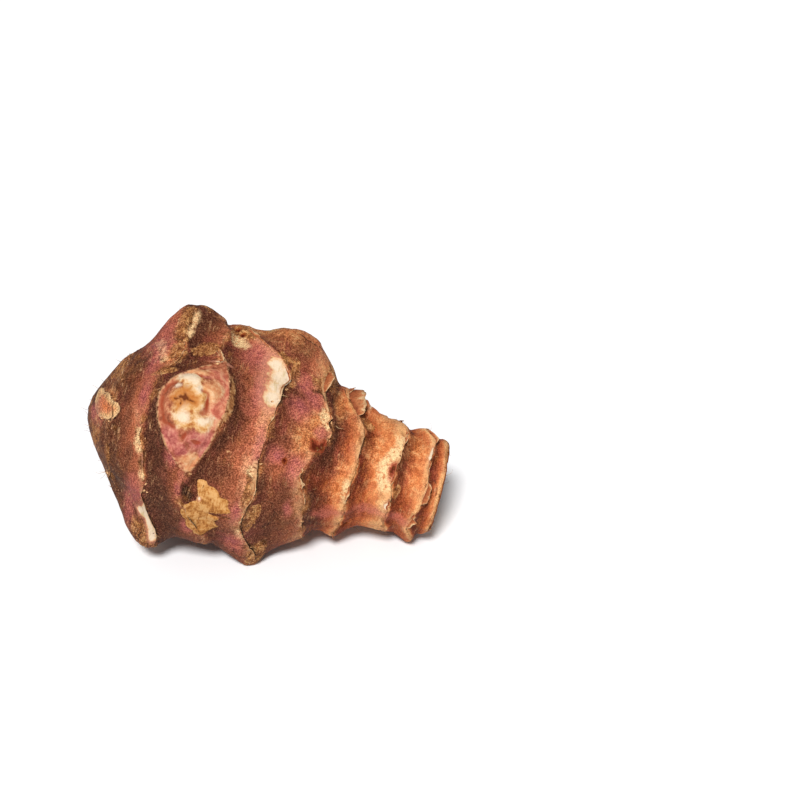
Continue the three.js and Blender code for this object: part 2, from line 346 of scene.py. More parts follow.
def grain(points, size, seed):
    """Smooth noise from -1 to 1 with lumps of about that size in mm."""
    place = points / size
    corner = np.floor(place).astype(np.int64)
    f = place - corner
    f = f * f * (3 - 2 * f)
    total = 0
    for step in np.ndindex(2, 2, 2):
        weight = np.prod(np.where(np.array(step) == 1, f, 1 - f), axis=-1)
        c = corner + np.array(step)
        total = total + weight * hashed(c[..., 0], c[..., 1], c[..., 2], seed)
    return total


def grains(points, layers, more_seed=0):
    """Layers of noise added up, each of a height, a size and a seed."""
    return sum(height * grain(points, size, seed + more_seed) for height, size, seed in layers)


def stretches_at(stretches, ring, angle):
    """The stretches of a ring's edge added up, each of a ring, an angle, a half width and a height."""
    total = 0
    for at_ring, at, half, height in stretches:
        total = total + np.where(ring == at_ring, height * bell(turned_from(angle, at, half)), 0)
    return total


def round_place(ring, angle, radius=24.0, ring_gap=40.0):
    """A place for noise that runs round a ring and differs from ring to ring."""
    return np.stack([radius * np.cos(angle), radius * np.sin(angle), ring_gap * ring + 0 * angle], -1)


def torn_edge(ring, angle):
    """How far, in mm, the edge of a ring stands ahead of its even line."""
    place = round_place(ring, angle)
    fine = grains(place, EDGE_NICKS) * np.clip(grain(place, 6.0, 2) + 0.4, 0, 1)
    bites = np.maximum(grain(place, 5.5, 6) - 0.35, 0) * EDGE_BITES
    return grains(place, EDGE_RAGGED) + fine - bites + stretches_at(EDGE_PUSHES, ring, angle)


def crispness(ring, angle):
    """How torn the edge of a ring is: 0 is a soft swell, 1 a papery edge."""
    patches = grains(round_place(ring, angle), CRISP_PATCHES)
    crisp = np.interp(ring, TABLE_RINGS, CRISPNESS) + patches - 0.05
    return np.clip(crisp + stretches_at(TORN_STRETCHES, ring, angle), 0, 1)


def edge_section(ring, angle):
    """The soft swell (0 to 1) along a band, and the torn edge's height and reach back, in mm."""
    share = ring - np.floor(ring)
    crisp = crispness(np.round(ring), angle)
    swell = np.where(share < VALLEY, 1 - ease(share / VALLEY), ease((share - VALLEY) / (CREST - VALLEY)))
    rise = ease((share - LIP_FROM) / (LIP_TO - LIP_FROM))
    lip = np.where(share < 0.5, 1 - ease(share / EDGE_SHARES[1]), rise)
    torn = LIP_LIFT * lip - np.interp(share, EDGE_SHARES, EDGE_DROP)
    return swell, torn * crisp, np.interp(share, EDGE_SHARES, EDGE_BACK) * crisp


# How much lighter or, below 0, darker each band is made, at the middles of the bands.
BAND_LIGHTNESS = [-0.12, 0.0, -0.26, 0.09, 0.16, -0.12, 0.25, 0.12, 0.08]
# How far past a soft edge the crest colour runs, and how long each band's valley stays dark. The dark valley
# is partly painted shade.
EDGE_FADE = [0.13, 0.13, 0.13, 0.12, 0.08, 0.05, 0.05, 0.05, 0.05, 0.05]
VALLEY_HOLD = [1, 1, 1, 1, 1.1, 1.3, 1.4, 1.4, 1.4]


def band_tone(ring, angle):
    """Place in the palette: 0 in the dark valley, 1 at the crest, where it falls back within a short way.
    The dark valley and pale crest are partly the skin's own colours and partly painted shade and highlight.
    """
    share = (ring - np.floor(ring)) ** np.interp(ring, TABLE_RINGS[:-1] + 0.5, VALLEY_HOLD)
    nearest = np.round(ring)
    fade = 0.012 + np.interp(nearest, TABLE_RINGS, EDGE_FADE) * (1 - crispness(nearest, angle))
    falling = 1 - ease(share / fade)
    tone = share + (0.9 - share) * falling
    return tone + np.interp(ring, TABLE_RINGS[:-1] + 0.5, BAND_LIGHTNESS)


def distance_to_line(line, x, y):
    """Distance to a line of points."""
    nearest = np.full(np.shape(x), 99.0)
    for (ax, ay), (bx, by) in zip(line, line[1:]):
        long = (bx - ax) ** 2 + (by - ay) ** 2
        share = np.clip(((x - ax) * (bx - ax) + (y - ay) * (by - ay)) / long, 0, 1)
        nearest = np.minimum(nearest, np.hypot(x - ax - share * (bx - ax), y - ay - share * (by - ay)))
    return nearest


def depth_inside(outline, x, y):
    """Distance from a closed line: more than 0 inside it, less outside."""
    closed = [*outline, outline[0]]
    inside = np.zeros(np.shape(x), bool)
    for (ax, ay), (bx, by) in zip(closed, closed[1:]):
        crosses = (ay > y) != (by > y)
        with np.errstate(divide="ignore", invalid="ignore"):
            at = ax + (y - ay) * (bx - ax) / (by - ay)
        inside ^= crosses & (x < at)
    return np.where(inside, 1, -1) * distance_to_line(closed, x, y)


def lobe_field(lobes, x, y):
    """1 in the middle of a lobe, 0 at its edge and less outside."""
    value = np.full(np.shape(x), EYE_FAR)
    for at, beside, long, wide, turn in lobes:
        c, s = cos(radians(turn)), sin(radians(turn))
        u = (x - at) * c + (y - beside) * s
        v = (y - beside) * c - (x - at) * s
        value = np.maximum(value, 1 - np.hypot(u / long, v / wide))
    return value


def great_eye_fields(station, angle, point):
    """What the great eye's relief and finish read, with its edges made uneven."""
    x = station - GREAT_EYE_AT
    y = wrapped(angle - radians(GREAT_EYE_ANGLE)) * GREAT_EYE_RADIUS
    near = (np.abs(x) < 16) & (np.abs(y) < 24)
    names = ["scar", "eye_arc", "eye_crack", "eye_pit", "eye_fringe"] + ["eye_" + name for name in EYE_LOBES]
    fields = {name: np.full(np.shape(x), EYE_FAR) for name in names}
    if not near.any():
        return fields
    place = point[near]
    u, v = x[near], y[near]
    fields["scar"][near] = depth_inside(GREAT_EYE_SCAR, u, v) + 0.12 * grain(place, 2.0, 14)
    beside = bell((fields["scar"][near] + 0.7) / 0.75)
    fields["eye_fringe"][near] = beside * ease((u - 2) / 3) * bell((v + 4.5) / 7.5) * 1.4 - 0.4
    u = u + grains(place, EYE_SHAKE)
    v = v + grains(place, EYE_SHAKE, 2)
    for name, places in EYE_LOBES.items():
        fields["eye_" + name][near] = lobe_field(places, u, v)
    fields["eye_pit"][near] = lobe_field(EYE_PITS, u, v)
    arcs = [distance_to_line(line, u, v) for line in EYE_ARCS]
    fields["eye_arc"][near] = 1 - np.minimum.reduce(arcs) / EYE_ARC_WIDTH
    cracks = [distance_to_line(line, u, v) for line in EYE_CRACKS]
    blot = 1.3 - np.hypot(u - EYE_BLOT[0], v - EYE_BLOT[1]) / EYE_BLOT[2]
    fields["eye_crack"][near] = np.maximum(1 - np.minimum.reduce(cracks) / EYE_CRACK_WIDTH, blot)
    return {name: np.maximum(value, EYE_FAR) for name, value in fields.items()}


def plate_field(station, angle):
    """1 in the middle of a raised plate, 0 at its edge; and the height of its relief in mm."""
    value = np.full(np.shape(station), NOWHERE)
    relief = 0
    for *place, high in PLATES:
        along, across = away_from(station, angle, *place)
        here = 1 - np.hypot(along, across)
        value = np.maximum(value, here)
        relief = relief + high * ease(here / 0.22) * np.clip(0.65 + 0.5 * along, 0, 1)
    return value, relief


def small_eye_field(station, angle):
    """Distance to the nearest small eye, in half widths, and the depth of its pit."""
    nearest = np.full(np.shape(station), 9.0)
    pit = 0
    for *place, deep in SMALL_EYES:
        away = np.hypot(*away_from(station, angle, *place))
        nearest = np.minimum(nearest, away)
        pit = pit - deep * bell(away / 0.8) + SMALL_EYE_RIM * bell((away - 2.0) / 0.8)
    return nearest, pit


def skin_surface(ring, angle):
    """Points of the skin in mm, measured from the tip, with the fields that its finish reads."""
    nearest_ring = np.clip(np.round(ring), 0, CUT_RING - 1)
    ahead = np.interp(nearest_ring + 0.5, TABLE_RINGS, STATION)
    band_length = ahead - np.interp(nearest_ring - 0.5, TABLE_RINGS, STATION)
    hold = bell((ring - nearest_ring) / 0.15) * np.clip((CUT_RING - ring) / 0.5, 0, 1)
    shifted = ring + ring_shift(ring, angle) + hold * torn_edge(nearest_ring, angle) / band_length
    station = smooth(STATION, shifted, 1)
    outwards = outwards_at(angle)
    point = AXIS * station[..., None] + outwards * smooth(RADIUS, shifted, -1)[..., None]
    point[..., 2] += TIP_HEIGHT

    away_from_tip = np.clip(ring - FIRST_RING, 0, 1)
    swell, torn, back = edge_section(ring, angle)
    relief = np.interp(ring, TABLE_RINGS, RING_RELIEF) * (swell - 0.5) + knob_relief(station, angle)
    eye_fields = great_eye_fields(station, angle, point)
    small_eye, pits = small_eye_field(station, angle)
    ragged = station + 0.04 * grain(point, 1.5, 31)
    plate, plate_relief = plate_field(ragged, angle + grain(point, 1.6, 32) / 60)
    relief = relief + pits + plate_relief + great_eye_relief(point, eye_fields)
    relief = relief + (torn + lump_relief(point) + cork_relief(point, outwards, station)) * away_from_tip

    point = point + outwards * relief[..., None] - AXIS * back[..., None]
    fields = {
        "ring": ring,
        "station": station,
        "angle": angle,
        "crisp": crispness(np.round(ring), angle),
        "tone": band_tone(ring, angle),
        "small_eye": small_eye,
        "plate": plate,
        **eye_fields,
    }
    return point, fields


def great_eye_relief(point, fields):
    """The raised line of the scar, the groove inside it, and the folded scales of the bud."""
    depth = fields["scar"]
    scar = SCAR_LINE * bell((depth - 0.1) / 0.35) - SCAR_GROOVE * bell((depth - 1.0) / 0.5)
    scales = grains(point, EYE_FOLDS)
    for name, (height, soft, over) in EYE_RELIEF.items():
        scales = scales + height * ease(fields["eye_" + name] / soft + over)
    return scar + ease(depth / 1.2) * scales


def cork_relief(point, outwards, station):
    """Small bumps, and fine wrinkles that run round the tuber."""
    wrinkle_place = np.concatenate([station[..., None], outwards[..., 1:] * WRINKLE_LENGTH], -1)
    wrinkles = grains(wrinkle_place, WRINKLES)
    return grains(point, CORK_BUMPS) + wrinkles + grains(point, TIP_LUMPS) * bell((station - 8) / 10)


def band_rows():
    """The ring coordinate of each row of vertices: close at every torn edge, even in between."""
    rings = []
    for i, length in enumerate(np.diff(STATION)):
        count = max(8, round(length / ROW_STEP))
        even = np.linspace(EDGE_SHARES[-1], 1, count - len(EDGE_SHARES) + 2)[1:-1]
        rings.extend(FIRST_RING + i + share for share in [*EDGE_SHARES, *even])
    return np.array(rings[1:] + [CUT_RING])


def smooth_mesh(name, points, faces):
    """A mesh of points in mm, shaded smooth."""
    mesh = bpy.data.meshes.new(name)
    mesh.from_pydata((points * MM).tolist(), [], faces)
    mesh.polygons.foreach_set("use_smooth", [True] * len(faces))
    return mesh


def closed_tube(name, rows, pole_start, pole_end):
    """A closed mesh from rows of points, each round the axis, and its two poles."""
    row_count, columns = rows.shape[:2]
    points = np.concatenate([pole_start[None], rows.reshape(-1, 3), pole_end[None]])
    at = 1 + np.arange(row_count * columns).reshape(row_count, columns)
    beside = np.roll(at, -1, axis=1)
    quads = np.stack([at[:-1], beside[:-1], beside[1:], at[1:]], -1).reshape(-1, 4)
    caps = [(0, b, a) for a, b in zip(at[0], beside[0])]
    caps += [(len(points) - 1, a, b) for a, b in zip(at[-1], beside[-1])]
    return smooth_mesh(name, points, quads.tolist() + caps)


def linked(mesh):
    """An object of the mesh, in the scene."""
    made = bpy.data.objects.new(mesh.name, mesh)
    bpy.context.scene.collection.objects.link(made)
    return made


def add_field(mesh, name, values):
    """Writes one number for each point, for the finishes and the growths to read."""
    attribute = mesh.attributes.new(name, "FLOAT", "POINT")
    attribute.data.foreach_set("value", np.asarray(values, np.float32).ravel())


# ---------------------------------------------------------------- places of the skin's markings

# Each marking: station, angle, half length, half width and, where it keeps to one, the band.
MARKED = {
    "peeled": [
        (43.4, 7, 4.2, 3.2, 2), (43.4, 15, 4.2, 3, 2), (42, 24, 3.2, 3, 2), (40.6, 0, 2.4, 1.6, 2),
        (64.9, -24, 0.5, 3), (52.7, 66, 0.5, 2, 3), (73.1, 82, 0.8, 1.4, 5), (81.9, 71, 0.8, 1.6, 6),
        (80.7, 22, 0.8, 1.8, 6), (15.9, 72, 0.5, 1.8, 0), (29.7, 88, 0.4, 0.6), (28.2, 12, 1.9, 0.5),
    ],
    "gold": [
        (17.7, 4, 2.1, 3.1), (17.9, -16, 2.1, 6), (19.7, -43, 2.9, 3), (30.8, -21, 2.1, 3.6),
        (24, 1, 3.3, 2.8), (5.4, -8, 1.4, 3.2), (7, -27, 1, 2.4), (33.6, -19, 1.6, 2.6), (22, -36, 2.4, 3),
        (16.1, 22, 2.9, 0.9), (40.3, 67, 1.2, 1.7, 2), (41, 82, 1.4, 2.4, 2), (18.8, 132, 3.1, 3),
        (39.7, -33, 3.3, 3), (42.1, -5, 1.9, 1.9), (51.5, -2, 1.9, 1.8), (64.2, 6, 1.7, 2.5),
        (74.1, 67, 0.7, 1.5), (45.8, 137, 2.2, 4.8), (3, 100, 1, 4.3), (48, -40, 3, 3),
    ],
    "pink": [
        (50.6, 10, 2.6, 3, 3), (48, 22, 2.4, 2.8, 3), (13.7, -8, 2.6, 5.8), (13, 9, 1.7, 4.8),
        (12.9, 37, 1, 4), (15.1, 103, 2.6, 4.8), (14.3, 125, 1.7, 4.8), (22.1, 68, 1.7, 2.4),
        (25, 83, 1.2, 3.8), (28.7, 114, 1.7, 2.8), (39, 95, 1.4, 3.7), (40.1, 123, 2.9, 3.6),
        (40.4, 54, 1.2, 4.8, 2), (36.2, -1, 3.4, 4.3), (38, 23, 1.6, 4.8, 2), (48.8, 4, 2.9, 2.3),
        (44.8, 56, 2.3, 2.1), (50, 62, 2.3, 3.1, 3), (2.6, 56, 1.3, 1.8), (50.2, 92, 1.2, 2.4),
        (60.4, 101, 4, 1.9), (69.6, 97, 4.4, 1.7), (76.8, 106, 3.4, 1.6), (53.6, 35, 1.6, 1.7),
    ],
    "dusk": [
        (15.4, 33, 1, 3.6), (15.5, 48, 1, 3.8), (16.8, 63, 1.9, 3.4, 1), (18.8, 79, 2.4, 4.4, 1),
        (21.7, 98, 2.6, 5.4, 1), (25, 117, 2.3, 5.1, 1), (28.7, 75, 1.6, 1.7), (32.3, 72, 3.8, 2.5),
        (33, 40, 1.6, 5.2), (32.4, 26, 1, 3.4), (31.8, 56, 1.2, 3.2), (2.2, -20, 1.8, 4), (5.4, 78, 2.2, 4),
        (8.2, 62, 1.6, 3), (9, 36, 1.6, 3.6), (10.2, 8, 1.6, 3.4), (7.6, 118, 2.4, 5), (12.2, 78, 1, 3),
        (8, 94, 1.2, 4.9), (10.5, 112, 1.4, 7.1), (10, 55, 1.2, 3.3), (5.8, 17, 2.1, 2.1),
        (24.8, -30, 2.1, 5.4), (21.9, -19, 1.9, 3), (45.6, -16, 2.6, 3), (40.8, 34, 0.7, 4.6, 3),
        (43.5, 77, 1, 2.1), (46.9, 117, 1.2, 2.6), (46.8, 142, 1.8, 2.4), (49, 101, 3.3, 5.4),
        (48.6, 79, 2.4, 4.6), (54.6, 88, 1.4, 3.4), (56.4, 52, 1.4, 2.1, 4), (57.4, 30, 0.9, 4.7, 4),
        (66.7, 71, 0.8, 2.5), (74.4, 45, 0.9, 4.4, 6), (56.2, -5, 0.9, 4.7, 4),
    ],
    "peach": [
        (61, -34, 2, 3), (42.5, -38, 7, 7.5), (35.5, -36, 5, 5.5), (16.6, 6, 1.4, 2.6),
        (61.1, -14, 2.4, 4.7), (69.4, 1, 2, 3.3), (68.3, 31, 2.4, 3.8), (69.6, 46, 2.4, 4.4, 5),
        (71.2, 26, 2, 3.4, 5), (77.3, 18, 2, 3.2), (78.1, 52, 1.8, 3.2), (60.7, 61, 1.5, 2.9),
        (60.9, 78, 1.9, 2.1), (57.4, 3, 1.2, 3.5), (50.8, 43, 2.2, 3.6, 3), (52.2, 30, 2.2, 2.6, 3),
        (53.4, -19, 1.9, 3), (4.1, 39, 1.4, 1.8), (53.9, 17, 1.2, 2.7), (41.4, 67, 1, 1.9),
    ],
}
# Places with an outline of their own: the band that they keep to, and points as station, angle.
OUTLINED = {
    "peeled": [
        (0, [(17.9, 95), (18.8, 94), (20.6, 99), (20, 104), (20.2, 109), (21.4, 113), (22.4, 118),
         (22.8, 131), (20.9, 133), (19.9, 126), (18.7, 121), (17, 123), (16.2, 122), (17.6, 112),
         (18.2, 103)]),
    ],
    "cream": [
        (None, [(19.7, -24), (20.5, -24), (20.7, -20), (20, -17), (20.1, -12), (19.5, -10), (19.4, -15),
         (19.8, -19)]),
        (None, [(12.6, -14), (13.6, -15), (14.3, -6), (14.8, 2), (15.6, 10), (14.8, 11), (13.8, 5),
         (13.2, -4)]),
        (2, [(40.6, 61), (43, 63), (45.6, 70), (42, 72), (40.4, 71), (39.2, 69), (39.6, 65)]),
        (None, [(29.4, -17), (31.1, -16), (32.8, -11), (33.7, -8), (32.5, -6), (30.9, -7), (29.7, -11)]),
        (2, [(39.8, 110), (42, 110), (43.4, 115), (42.6, 119), (40.6, 116)]),
        (5, [(72, 13), (74.6, 12), (75.4, 24), (74.8, 32), (72.8, 37), (71.4, 40), (70.8, 48), (71.4, 58),
         (73.1, 63), (72.8, 68), (70.6, 68), (69.2, 58), (68.8, 47), (69.6, 38), (71, 30), (72.2, 22)]),
        (4, [(62, 66), (63.4, 68), (65.4, 78), (65.2, 87), (63.2, 86), (61.8, 78)]),
        (5, [(71.8, 79), (73.5, 80), (74.4, 90), (72.4, 92)]),
        (3, [(53.2, 15), (55.2, 13), (56, 22), (55.6, 31), (54.2, 29), (53, 22)]),
        (0, [(13.3, 59), (15, 60), (16.8, 64), (16.4, 68), (15.2, 69), (14.4, 72), (13.2, 67)]),
        (0, [(16.8, 71), (17.7, 74), (17.5, 82), (16.6, 88), (15.9, 86), (16.5, 79), (16.2, 74)]),
    ],
    "gold": [
        (2, [(38.9, 69), (45.8, 70), (46, 80), (44.8, 87), (41, 91), (39, 90), (39.3, 84), (39.6, 76)]),
        (3, [(44.4, -9), (45.6, -8), (46.6, 0), (46.2, 8), (45.2, 12), (44, 8)]),
        (None, [(48.8, 1), (50.4, 0), (51.8, -7), (52.8, -20), (53.9, -42), (56, -34), (56.2, -20),
         (54.6, -6), (52, 0), (50.4, 3)]),
        (3, [(39.6, 98), (41.2, 94), (42.6, 90), (44, 90), (44.4, 96), (43.6, 107), (42.6, 113),
         (41.2, 112), (39.8, 106)]),
    ],
    "bud": [
        (None, [(1.8, -1), (3.3, 27), (4.1, 28), (4.9, 34), (6.2, 41), (7.4, 45), (8, 49), (7.5, 53),
         (6.7, 57), (5.1, 60), (4.1, 61), (2.9, 58), (1.9, 48), (1.5, 28), (1.5, 5)]),
    ],
    "scab": [
        (None, [(28.8, 78), (30.6, 78), (31.5, 80), (33.1, 81), (34.9, 86), (36.4, 87), (37.9, 94),
         (36.2, 95), (34, 98), (32.6, 99.5), (33, 101), (35.4, 101), (34.2, 107), (35.4, 111), (34.2, 117),
         (32.4, 121), (30.3, 119), (28.6, 112), (27.1, 104), (26.4, 99), (26.8, 94), (28.1, 92.5),
         (29.4, 91), (29.6, 87), (29.1, 82)]),
    ],
    "hole": [
        (None, [(49.4, 4), (50.7, 2), (52, 0.5), (53.4, 1.5), (54, 8), (53.3, 8), (52.7, 4), (51.8, 3.5),
         (50.6, 5)]),
        (None, [(25.2, 78), (26.3, 81), (27.9, 84), (28.6, 88), (28, 92.5), (26.7, 91), (25.8, 86)]),
        (None, [(46.3, 124), (47.2, 125), (47.3, 129), (46.2, 128)]),
        (None, [(33.8, 99.2), (38, 98.4), (38, 99.8), (34, 100.2)]),
        (None, [(7, 61), (8.6, 62), (8.4, 68), (7.2, 66)]),
        (None, [(15.2, 71), (16, 70), (16.2, 76), (15.6, 82), (14.9, 79)]),
        (None, [(18.9, -25), (19.4, -24), (19.2, -16), (18.8, -17)]),
    ],
    "pit": [
        (None, [(51.8, 41.5), (53.1, 42), (54.2, 43.5), (54.9, 39.5), (55.6, 42), (54.9, 46.5),
         (53.3, 48.5), (52.2, 47)]),
        (None, [(72.2, 40), (73, 41), (72.7, 47), (72.4, 54), (71.7, 53), (71.8, 46)]),
    ],
    "pink": [
        (0, [(14, 97), (15.4, 95), (17.4, 94), (18, 96), (17.8, 104), (17.4, 110), (15.6, 122), (14.2, 127),
         (13.6, 124), (13.4, 111)]),
        (None, [(51.9, 35), (53.2, 32), (54.6, 33), (55, 37), (54.1, 39), (52.7, 38)]),
        (5, [(71.1, 41), (72.4, 37), (73.6, 39), (74.1, 44), (74.1, 52), (73.2, 59), (71.7, 58),
         (71.3, 50)]),
    ],
}
# Markings drawn for the sides away from the front: count, half length, half width and seed.
# Torn ones reach over the edge of their band and are cut off by it.
DRAWN = {
    "gold": (12, 2.2, 3.4, 2),
    "scab": (2, 3.2, 3.8, 3),
    "pink": (14, 2.8, 4.6, 4),
    "dusk": (12, 2.2, 5.4, 5),
    "peach": (9, 2.2, 4.4, 6),
}
DRAWN_TORN = {"peeled": (5, 0.75, 4.4, 1), "cream": (12, 1.1, 4.8, 7)}
DRAWN_BANDS = 7
# How far the markings' places are shaken, and the layers of noise that shake them.
MARKING_SHAKE = 0.8
OUTLINE_SHAKE = 0.35
PLACE_SHAKE = [(0.8, 4.1, 61), (0.45, 1.7, 62), (0.25, 0.8, 63)]
PLACE_TURN = [(1.0, 4.4, 64), (0.5, 1.8, 65), (0.25, 0.8, 66)]
SCAB_JAGS = [(0.34, 2.4, 55), (0.26, 1.2, 56), (0.16, 0.7, 57)]
# Height of each marking in mm, the softness of its edge, and how far it reaches over its edge.
MARKING_RELIEF = {
    "peeled": (-0.14, 0.3, 0.3),
    "scab": (0.22, 0.15, 0),
    "hole": (-0.5, 0.4, 0.3),
    "pit": (-0.6, 0.5, 0.2),
    "bud": (0.3, 1.4, 0.2),
}
PEELED_CURL = 0.05
SCAB_GROOVE = 0.12
# No flakes or hairs grow below this height above the floor.
BARE_HEIGHT = 1.2
HIDDEN_SEED = 31
HIDDEN_FROM = 155
HIDDEN_TO = 318


def drawn_markings(count, long, wide, seed, torn=False):
    """Markings for the sides away from the front, drawn near the scar edges."""
    numbers = drawn_numbers(HIDDEN_SEED + seed)
    made = []
    for _ in range(count):
        band = int(next(numbers) * DRAWN_BANDS)
        edge = STATION[band + 2]
        angle = HIDDEN_FROM + (HIDDEN_TO - HIDDEN_FROM) * next(numbers)
        size = 0.5 + next(numbers)
        behind = 0.1 if torn else 0.7
        kept_band = [band] if torn else []
        made.append((edge - long * size * behind, angle, long * size, wide * size, *kept_band))
    return made


def marking_field(markings, fields):
    """1 in the middle of a marking, 0 at its edge and less outside."""
    value = np.full(np.shape(fields["band"]), NOWHERE)
    for at, place, long, wide, *kept in markings:
        away = away_from(fields["marking_station"], fields["marking_angle"], at, place, long, wide)
        band = kept[0] if kept else None
        value = np.maximum(value, kept_to(band, 1 - np.hypot(*away), fields))
    return value


def kept_to(band, here, fields):
    """A marking's field, cut off outside the band that it keeps to, if any."""
    return here if band is None else np.where(fields["band"] == band, here, NOWHERE)


def with_outlines(value, outlined, fields):
    """The field with the outlined places added: 0 at their edge, and their depth in mm inside."""
    for band, outline in outlined:
        middle, at = np.array(outline, float).mean(0)
        radius = np.interp(middle, STATION, np.maximum(RADIUS, 6))
        x = fields["outline_station"]
        y = wrapped(fields["outline_angle"] - radians(at)) * radius
        near = (np.abs(x - middle) < 14) & (np.abs(y) < 22)
        around = [(station, radians(angle - at) * radius) for station, angle in outline]
        here = np.full(np.shape(value), NOWHERE)
        here[near] = np.maximum(depth_inside(around, x[near], y[near]), NOWHERE)
        value = np.maximum(value, kept_to(band, here, fields))
    return value


def add_markings(fields, rows):
    """Adds the field of each marking. Their places are shaken, so that none is an even oval."""
    along = grains(rows, PLACE_SHAKE)
    turned = grains(rows, PLACE_TURN) / np.interp(fields["station"], STATION, np.maximum(RADIUS, 6))
    for name, share in {"marking": MARKING_SHAKE, "outline": OUTLINE_SHAKE}.items():
        fields[name + "_station"] = fields["station"] + share * along
        fields[name + "_angle"] = fields["angle"] + share * turned
    fields["band"] = np.ceil(fields["ring"]) - 1
    for name in {**MARKED, **OUTLINED, **DRAWN_TORN}:
        markings = [*MARKED.get(name, [])]
        if name in DRAWN:
            markings += drawn_markings(*DRAWN[name])
        if name in DRAWN_TORN:
            markings += drawn_markings(*DRAWN_TORN[name], torn=True)
        fields[name] = with_outlines(marking_field(markings, fields), OUTLINED.get(name, []), fields)
    jags = grains(rows, SCAB_JAGS)
    fields["scab"] = fields["scab"] + jags * np.where(fields["scab"] > -0.9, 1, 0)


def add_growth_fields(fields, rows):
    """Adds where flakes and hairs grow, and the low side, which the finish darkens with painted shade."""
    ring, crisp = fields["ring"], fields["crisp"]
    turn = np.degrees(fields["angle"]) % 360
    # The low side, for painted shade: from the lower front, under the tuber, to the lower back, fading out
    # towards the neck.
    fields["low"] = ease((turn - 58) / 50) * ease((270 - turn) / 40) * (1 - ease((ring - 3.4) / 1.4))
    to_ring = np.abs(ring - np.round(ring))
    above_floor = ease((rows[..., 2] + TIP_PLACE[2] - BARE_HEIGHT) / 0.8)
    rims = bell((fields["peeled"] + 0.05) / 0.1) + bell(fields["plate"] / 0.08) + bell(fields["scar"] / 0.4)
    fields["flaky"] = (bell(to_ring / 0.07) * (0.15 + crisp) + 0.5 * rims + 0.004) * above_floor
    near_tip = 1 - ease((fields["station"] - 1) / 8)
    fields["hairy"] = (bell(to_ring / 0.12) * (0.3 + crisp) + 0.03 + 0.7 * near_tip) * above_floor


def marking_relief(fields):
    """How far the markings stand above the skin. It curls up round the peeled places."""
    relief = PEELED_CURL * bell((fields["peeled"] + 0.12) / 0.14) - SCAB_GROOVE * bell(fields["scab"] / 0.12)
    for name, (height, soft, over) in MARKING_RELIEF.items():
        relief = relief + height * ease(fields[name] / soft + over)
    return relief


def cut_rows(edge, middle):
    """The rows of the dished cut, from its edge inwards."""
    made = []
    for share in CUT_SHARES:
        point = middle + (edge - middle) * share + AXIS * (CUT_RIM - CUT_DISH * (1 - share))
        made.append(point + AXIS * grains(point, CUT_BUMPS)[:, None])
    return made


def build_skin():
    """The skin as one closed mesh, with every field that the finishes and the growths read."""
    angles = np.linspace(0, 2 * pi, COLUMNS, endpoint=False)
    ring, angle = np.meshgrid(band_rows(), angles, indexing="ij")
    rows, fields = skin_surface(ring, angle)
    add_markings(fields, rows)
    add_growth_fields(fields, rows)
    rows += outwards_at(angle) * marking_relief(fields)[..., None]

    middle = rows[-1].mean(0)
    all_rows = np.concatenate([rows, cut_rows(rows[-1], middle)])
    tip, _ = skin_surface(np.array([FIRST_RING * 1.0]), np.array([0.0]))
    poles = [tip[0], middle + AXIS * (CUT_RIM - CUT_DISH)]
    for place in [all_rows, *poles]:
        place += TIP_PLACE
        place[..., 2] = np.maximum(place[..., 2], 0)

    mesh = closed_tube("tuber_skin", all_rows, *poles)
    for name, values in fields.items():
        if not name.endswith(("station", "angle", "band")):
            on_cut = np.repeat(values[-1:], len(CUT_SHARES), axis=0)
            values = np.concatenate([values, on_cut]).ravel()
            add_field(mesh, name, np.concatenate([values[:1], values, values[-1:]]))
    on_skin = 1 + len(rows) * COLUMNS
    reach = np.repeat(CUT_SHARES, COLUMNS)
    add_field(mesh, "cut", np.repeat([0, 1], [on_skin, len(reach) + 1]))
    add_field(mesh, "cut_reach", np.concatenate([np.ones(on_skin), reach, [0]]))
    return linked(mesh)


# ---------------------------------------------------------------- finishes


def colour(red, green, blue):
    """A screen colour from 0 to 255 as a linear one."""
    def linear(value):
        value /= 255
        return value / 12.92 if value <= 0.04045 else ((value + 0.055) / 1.055) ** 2.4
    return (linear(red), linear(green), linear(blue), 1)


def tones(*stops):
    """The stops of a ramp, each a position and a screen colour."""
    return [(position, colour(*shade)) for position, *shade in stops]


class Tree:
    """A node tree, made a step at a time."""

    def __init__(self, tree):
        self.tree = tree

    def feed(self, socket, value):
        """Links an output to the socket, or sets a constant on it."""
        if isinstance(value, bpy.types.NodeSocket):
            self.tree.links.new(value, socket)
        else:
            socket.default_value = value

    def add(self, kind, fed=None, **settings):
        """A new node with its settings, and with values or outputs fed to the inputs named."""
        node = self.tree.nodes.new(kind)
        for name, value in settings.items():
            setattr(node, name, value)
        for name, value in (fed or {}).items():
            self.feed(node.inputs[name], value)
        return node

    def math(self, operation, a, b=0.0):
        return self.add("ShaderNodeMath", {0: a, 1: b}, operation=operation).outputs[0]

    def times(self, a, b):
        return self.math("MULTIPLY", a, b)

    def plus(self, a, b):
        return self.math("ADD", a, b)

    def most(self, first, *others):
        """The largest of the values."""
        for other in others:
            first = self.math("MAXIMUM", first, other)
        return first

    def vector(self, operation, a, b):
        second = "Scale" if operation == "SCALE" else 1
        node = self.add("ShaderNodeVectorMath", {0: a, second: b}, operation=operation)
        return node.outputs["Value" if operation == "DOT_PRODUCT" else "Vector"]


